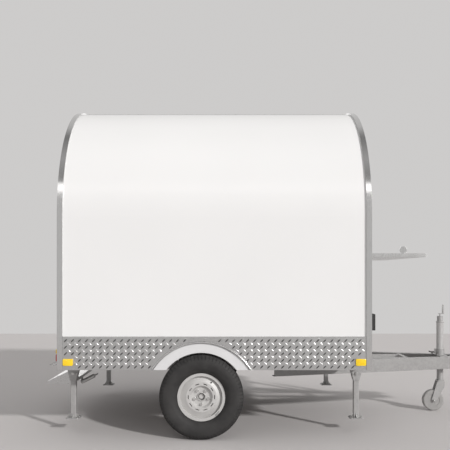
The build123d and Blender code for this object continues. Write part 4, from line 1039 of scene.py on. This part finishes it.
# ---- Running gear, legs and drawbar fittings ----
LEGS = ("rear_right_leg", "rear_left_leg", "front_right_leg", "front_left_leg")
LEG_HALF = 0.020
CHEEK_OUT = 0.005
FOOT_PLATE = 0.006
FOOT_BOLT = 0.036
STOP_BOLT = (0.027, 0.004)
SMALL_HEAD = 0.010
LARGE_HEAD = 0.017
PIVOT_HEAD = 0.019
GUSSET = ((0.0, 0.0), (0.02, 0.0), (0.02, 0.004), (0.0, 0.034))
GUSSET_HALF = 0.002


def leg_fittings(name):
    """The pivot bolt with the stop bolt beside it, and the bolts, gussets and weld of the foot."""
    pivot = Vector(JOINTS[name + "_fold"]["pos_m"])
    inward = X if pivot.x < 0 else -X
    bolts = Solid()
    for side in (-1, 1):
        face = pivot + Y * side * (LEG_HALF + CHEEK_OUT)
        bolt(bolts, face, Y * side, PIVOT_HEAD, shank=0.006 if side > 0 else 0.0)
        bolt(bolts, face + inward * STOP_BOLT[0] - Z * STOP_BOLT[1], Y * side, SMALL_HEAD)
    bolts.make(name + "_pivot_bolts", "galvanised", BOLT_ZINC)
    low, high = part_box(name)
    middle = Vector(((low.x + high.x) / 2, (low.y + high.y) / 2, low.z + FOOT_PLATE))
    foot = Solid()
    for x in (-FOOT_BOLT, FOOT_BOLT):
        for y in (-FOOT_BOLT, FOOT_BOLT):
            bolt(foot, middle + X * x + Y * y, Z, SMALL_HEAD)
    for direction in (X, -X, Y, -Y):
        side = Z.cross(direction) * GUSSET_HALF
        root = middle + direction * (LEG_HALF - 0.0005)
        outline = [root + direction * along + Z * up for along, up in GUSSET]
        foot.loft([[point - side for point in outline], [point + side for point in outline]])
    weld = 2 * LEG_HALF + 0.008
    foot.band(middle - Z * 0.0003, X, Y, (weld, weld), 0.0045, 0.0035, 0.005)
    foot.make(name + "_foot_fittings", "galvanised", BOLT_ZINC, body=name)


SPRING_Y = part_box("rear_leg_springs")[1].y - 0.0175
SPRING_FOOT = (0.998, 0.353)
SPRING_HEAD = (0.900, 0.402)
COIL_TURNS = 15
COIL_STEPS = 12
COIL_RADIUS = 0.0142
COIL_WIRE = 0.0018


def spring_coils():
    """The wound wire of the two springs that hold the rear legs."""
    coils = Solid()
    count = COIL_TURNS * COIL_STEPS
    for side in (-1, 1):
        foot = Vector((BODY_X - SPRING_FOOT[0], side * SPRING_Y, SPRING_FOOT[1]))
        head = Vector((BODY_X - SPRING_HEAD[0], side * SPRING_Y, SPRING_HEAD[1]))
        first, second = across((head - foot).normalized())
        points = []
        for i in range(count + 1):
            angle = 2 * math.pi * i / COIL_STEPS
            reach = (first * math.cos(angle) + second * math.sin(angle)) * COIL_RADIUS
            points.append(foot + (head - foot) * (0.04 + 0.92 * i / count) + reach)
        coils.bar(points, COIL_WIRE, steps=6)
    coils.make("rear_leg_spring_coils", "galvanised", BRIGHT_STEEL)


TUBE_LOW, TUBE_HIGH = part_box("jockey_outer_tube")
HANDLE_REACH = 0.05
HANDLE_CROSS = (0.046, 0.045)
GRIP_LENGTH = 0.064
COLLAR_PROFILE = ((0, 0.0298), (0, 0.0318), (0.0008, 0.0326), (0.0072, 0.0326), (0.008, 0.0318),
                  (0.008, 0.0298))


def jockey_handles():
    """The clamp's tightening handle and the grip on the crank."""
    clamp_low, clamp_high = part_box("jockey_clamp")
    handle = Solid()
    root = Vector((TUBE_LOW.x - 0.002, 0, (clamp_low.z + clamp_high.z) / 2))
    handle.bar([root, root - X * HANDLE_REACH], 0.006)
    cross = root - X * HANDLE_CROSS[0]
    handle.bar([cross - Y * HANDLE_CROSS[1], cross + Y * HANDLE_CROSS[1]], 0.0055)
    handle.make("jockey_clamp_handle", "dark_metal")
    grip = Solid()
    crank_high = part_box("jockey_crank")[1]
    shares = [i / 8 for i in range(9)]
    barrel = [(GRIP_LENGTH * share, 0.0085 - 0.0012 * (2 * share - 1) ** 2) for share in shares]
    place = Vector((crank_high.x - 0.009, 0, crank_high.z - 0.066))
    grip.turn([(0, 0.006)] + barrel + [(GRIP_LENGTH, 0.006)], place, Z, steps=24)
    grip.make("jockey_crank_grip", "galvanised", BOLT_ZINC)


def jockey_nuts_and_collars():
    """The nuts on the jockey wheel's axle, and a rolled collar at each end of the outer tube."""
    hub = Vector(JOINTS["jockey_spin"]["pos_m"])
    fork_low, fork_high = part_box("jockey_fork")
    nuts = Solid()
    for side, reach in ((1, fork_high.y), (-1, -fork_low.y)):
        bolt(nuts, Vector((hub.x, side * (reach - 0.0035), hub.z)), Y * side, LARGE_HEAD, shank=0.004)
    nuts.make("jockey_axle_nuts", "galvanised", BOLT_ZINC, body="jockey_swivel")
    collars = Solid()
    for z in (TUBE_LOW.z + 0.004, TUBE_HIGH.z - 0.012):
        place = Vector(((TUBE_LOW.x + TUBE_HIGH.x) / 2, 0, z))
        collars.turn(COLLAR_PROFILE, place, Z, steps=48, loop=True)
    collars.make("jockey_tube_collars", "galvanised")


NOSE_BOLT_Y = 0.052
COUPLING_FACE_Y = 0.030
COUPLING_BOLT_Z = 0.502
COUPLING_BOLTS = (0.03, 0.09)
AXLE_BOLT_Y = 0.64
AXLE_BOLT_OUT = 0.016


def chassis_bolts():
    """Bolts through the nose plate, the coupling head and the axle's mounts."""
    bolts = Solid()
    nose_low, nose_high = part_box("nose_plate")
    for x in (nose_low.x + 0.03, nose_high.x - 0.11):
        for y in (-NOSE_BOLT_Y, NOSE_BOLT_Y):
            bolt(bolts, Vector((x, y, nose_high.z)), Z, LARGE_HEAD, shank=0.005)
    coupling_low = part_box("coupling_head")[0]
    for along in COUPLING_BOLTS:
        for side in (-1, 1):
            place = Vector((coupling_low.x + along, side * COUPLING_FACE_Y, COUPLING_BOLT_Z))
            bolt(bolts, place, Y * side, LARGE_HEAD, shank=0.004)
    beam_low, beam_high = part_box("axle_beam")
    for side in (-1, 1):
        for x in (beam_low.x - AXLE_BOLT_OUT, beam_high.x + AXLE_BOLT_OUT):
            bolt(bolts, Vector((x, side * AXLE_BOLT_Y, beam_high.z)), -Z, LARGE_HEAD)
    bolts.make("chassis_bolts", "galvanised", BOLT_ZINC)


skirt_treads()
apron_treads()
step_tread()
for side, node, body in ((-1, "right_tyre", "right_wheel"), (1, "left_tyre", "left_wheel")):
    tyre(side, node, body)
    wheel_bolts(side, body)
    wheel_weight_and_spigot(side, body)
    arch_lining(side, body + "_arch_lining")
trim_rivets()
roof_seams()
skirt_caps()
front_hatch_edges()
front_hatch_fittings()
side_hatch_dress()
door_dress()
side_marker_lenses()
tail_lamp_lenses()
number_plate()
inlet_flap()
for leg in LEGS:
    leg_fittings(leg)
spring_coils()
jockey_handles()
jockey_nuts_and_collars()
chassis_bolts()
door_hinge_screws()


# ---- Camera, lights and stage ----
EYE = Vector((BODY_X + 0.080, -5.56, 1.166))
LENS_MM = 52.3
SENSOR_MM = 36.0
SHIFT = (-0.002, 0.1067)
SUN_ENERGY = 2.4
SUN_SPREAD = 3.2
SUN_HEIGHT = 23.6
SUN_TRAVEL = (-0.697, 0.717)
BACKDROP = ((0.42, 0.61), (1.0, 0.54))
STUDIO = ((0.0, 0.27), (0.155, 0.25), (0.172, 1.0), (0.2, 1.0), (0.215, 0.12), (0.36, 0.2), (0.52, 0.1),
          (0.62, 0.27), (0.9, 0.3), (0.95, 1.0), (1.0, 0.6))
STUDIO_STRENGTH = 2.2
FLOOR_HALF = 7.0


def camera():
    """Looks level and square at the right side, with the view shifted up."""
    data = bpy.data.cameras.new("camera")
    data.lens = LENS_MM
    data.sensor_width = SENSOR_MM
    data.shift_x, data.shift_y = SHIFT
    made = bpy.data.objects.new("camera", data)
    made.location = EYE
    made.rotation_euler = (math.radians(90), 0, 0)
    SCENE.collection.objects.link(made)
    SCENE.camera = made


def sun():
    data = bpy.data.lights.new("key", "SUN")
    data.energy = SUN_ENERGY
    data.angle = math.radians(SUN_SPREAD)
    data.color = (1.0, 0.985, 0.97)
    made = bpy.data.objects.new("key", data)
    travel = Vector(SUN_TRAVEL + (-math.tan(math.radians(SUN_HEIGHT)),))
    made.rotation_mode = "QUATERNION"
    made.rotation_quaternion = travel.to_track_quat("-Z", "Y")
    SCENE.collection.objects.link(made)


def sky():
    """An even pale backdrop. Metal mirrors a darker studio with a strip light and a bright far wall."""
    world = bpy.data.worlds.new("studio")
    world.use_nodes = True
    build = Nodes(world.node_tree)
    direction = build.node("ShaderNodeTexCoord").outputs["Generated"]
    split = build.node("ShaderNodeSeparateXYZ", {"Vector": direction}).outputs
    even = build.node("ShaderNodeBackground", {"Color": build.greys(split["Z"], BACKDROP)})
    towards = build.math("MULTIPLY", split["Y"], -1.0)
    share = build.math("DIVIDE", build.math("ARCTAN2", split["Z"], towards), math.pi)
    mirrored = {"Color": build.greys(share, STUDIO), "Strength": STUDIO_STRENGTH}
    studio = build.node("ShaderNodeBackground", mirrored)
    glossy = build.node("ShaderNodeLightPath").outputs["Is Glossy Ray"]
    mix = build.node("ShaderNodeMixShader", {0: glossy, 1: even.outputs[0], 2: studio.outputs[0]})
    build.feed(build.tree.nodes["World Output"].inputs["Surface"], mix.outputs[0])
    SCENE.world = world


def stage_floor():
    """A square of floor whose straight far edge is the horizon line."""
    half = FLOOR_HALF
    mesh = bpy.data.meshes.new("studio_floor")
    corners = [(-half, -half, 0), (half, -half, 0), (half, half, 0), (-half, half, 0)]
    mesh.from_pydata(corners, [], [(0, 1, 2, 3)])
    made = bpy.data.objects.new("studio_floor", mesh)
    mesh.materials.append(floor_paint())
    SCENE.collection.objects.link(made)


camera()
sun()
sky()
stage_floor()
SCENE.view_settings.view_transform = "Standard"
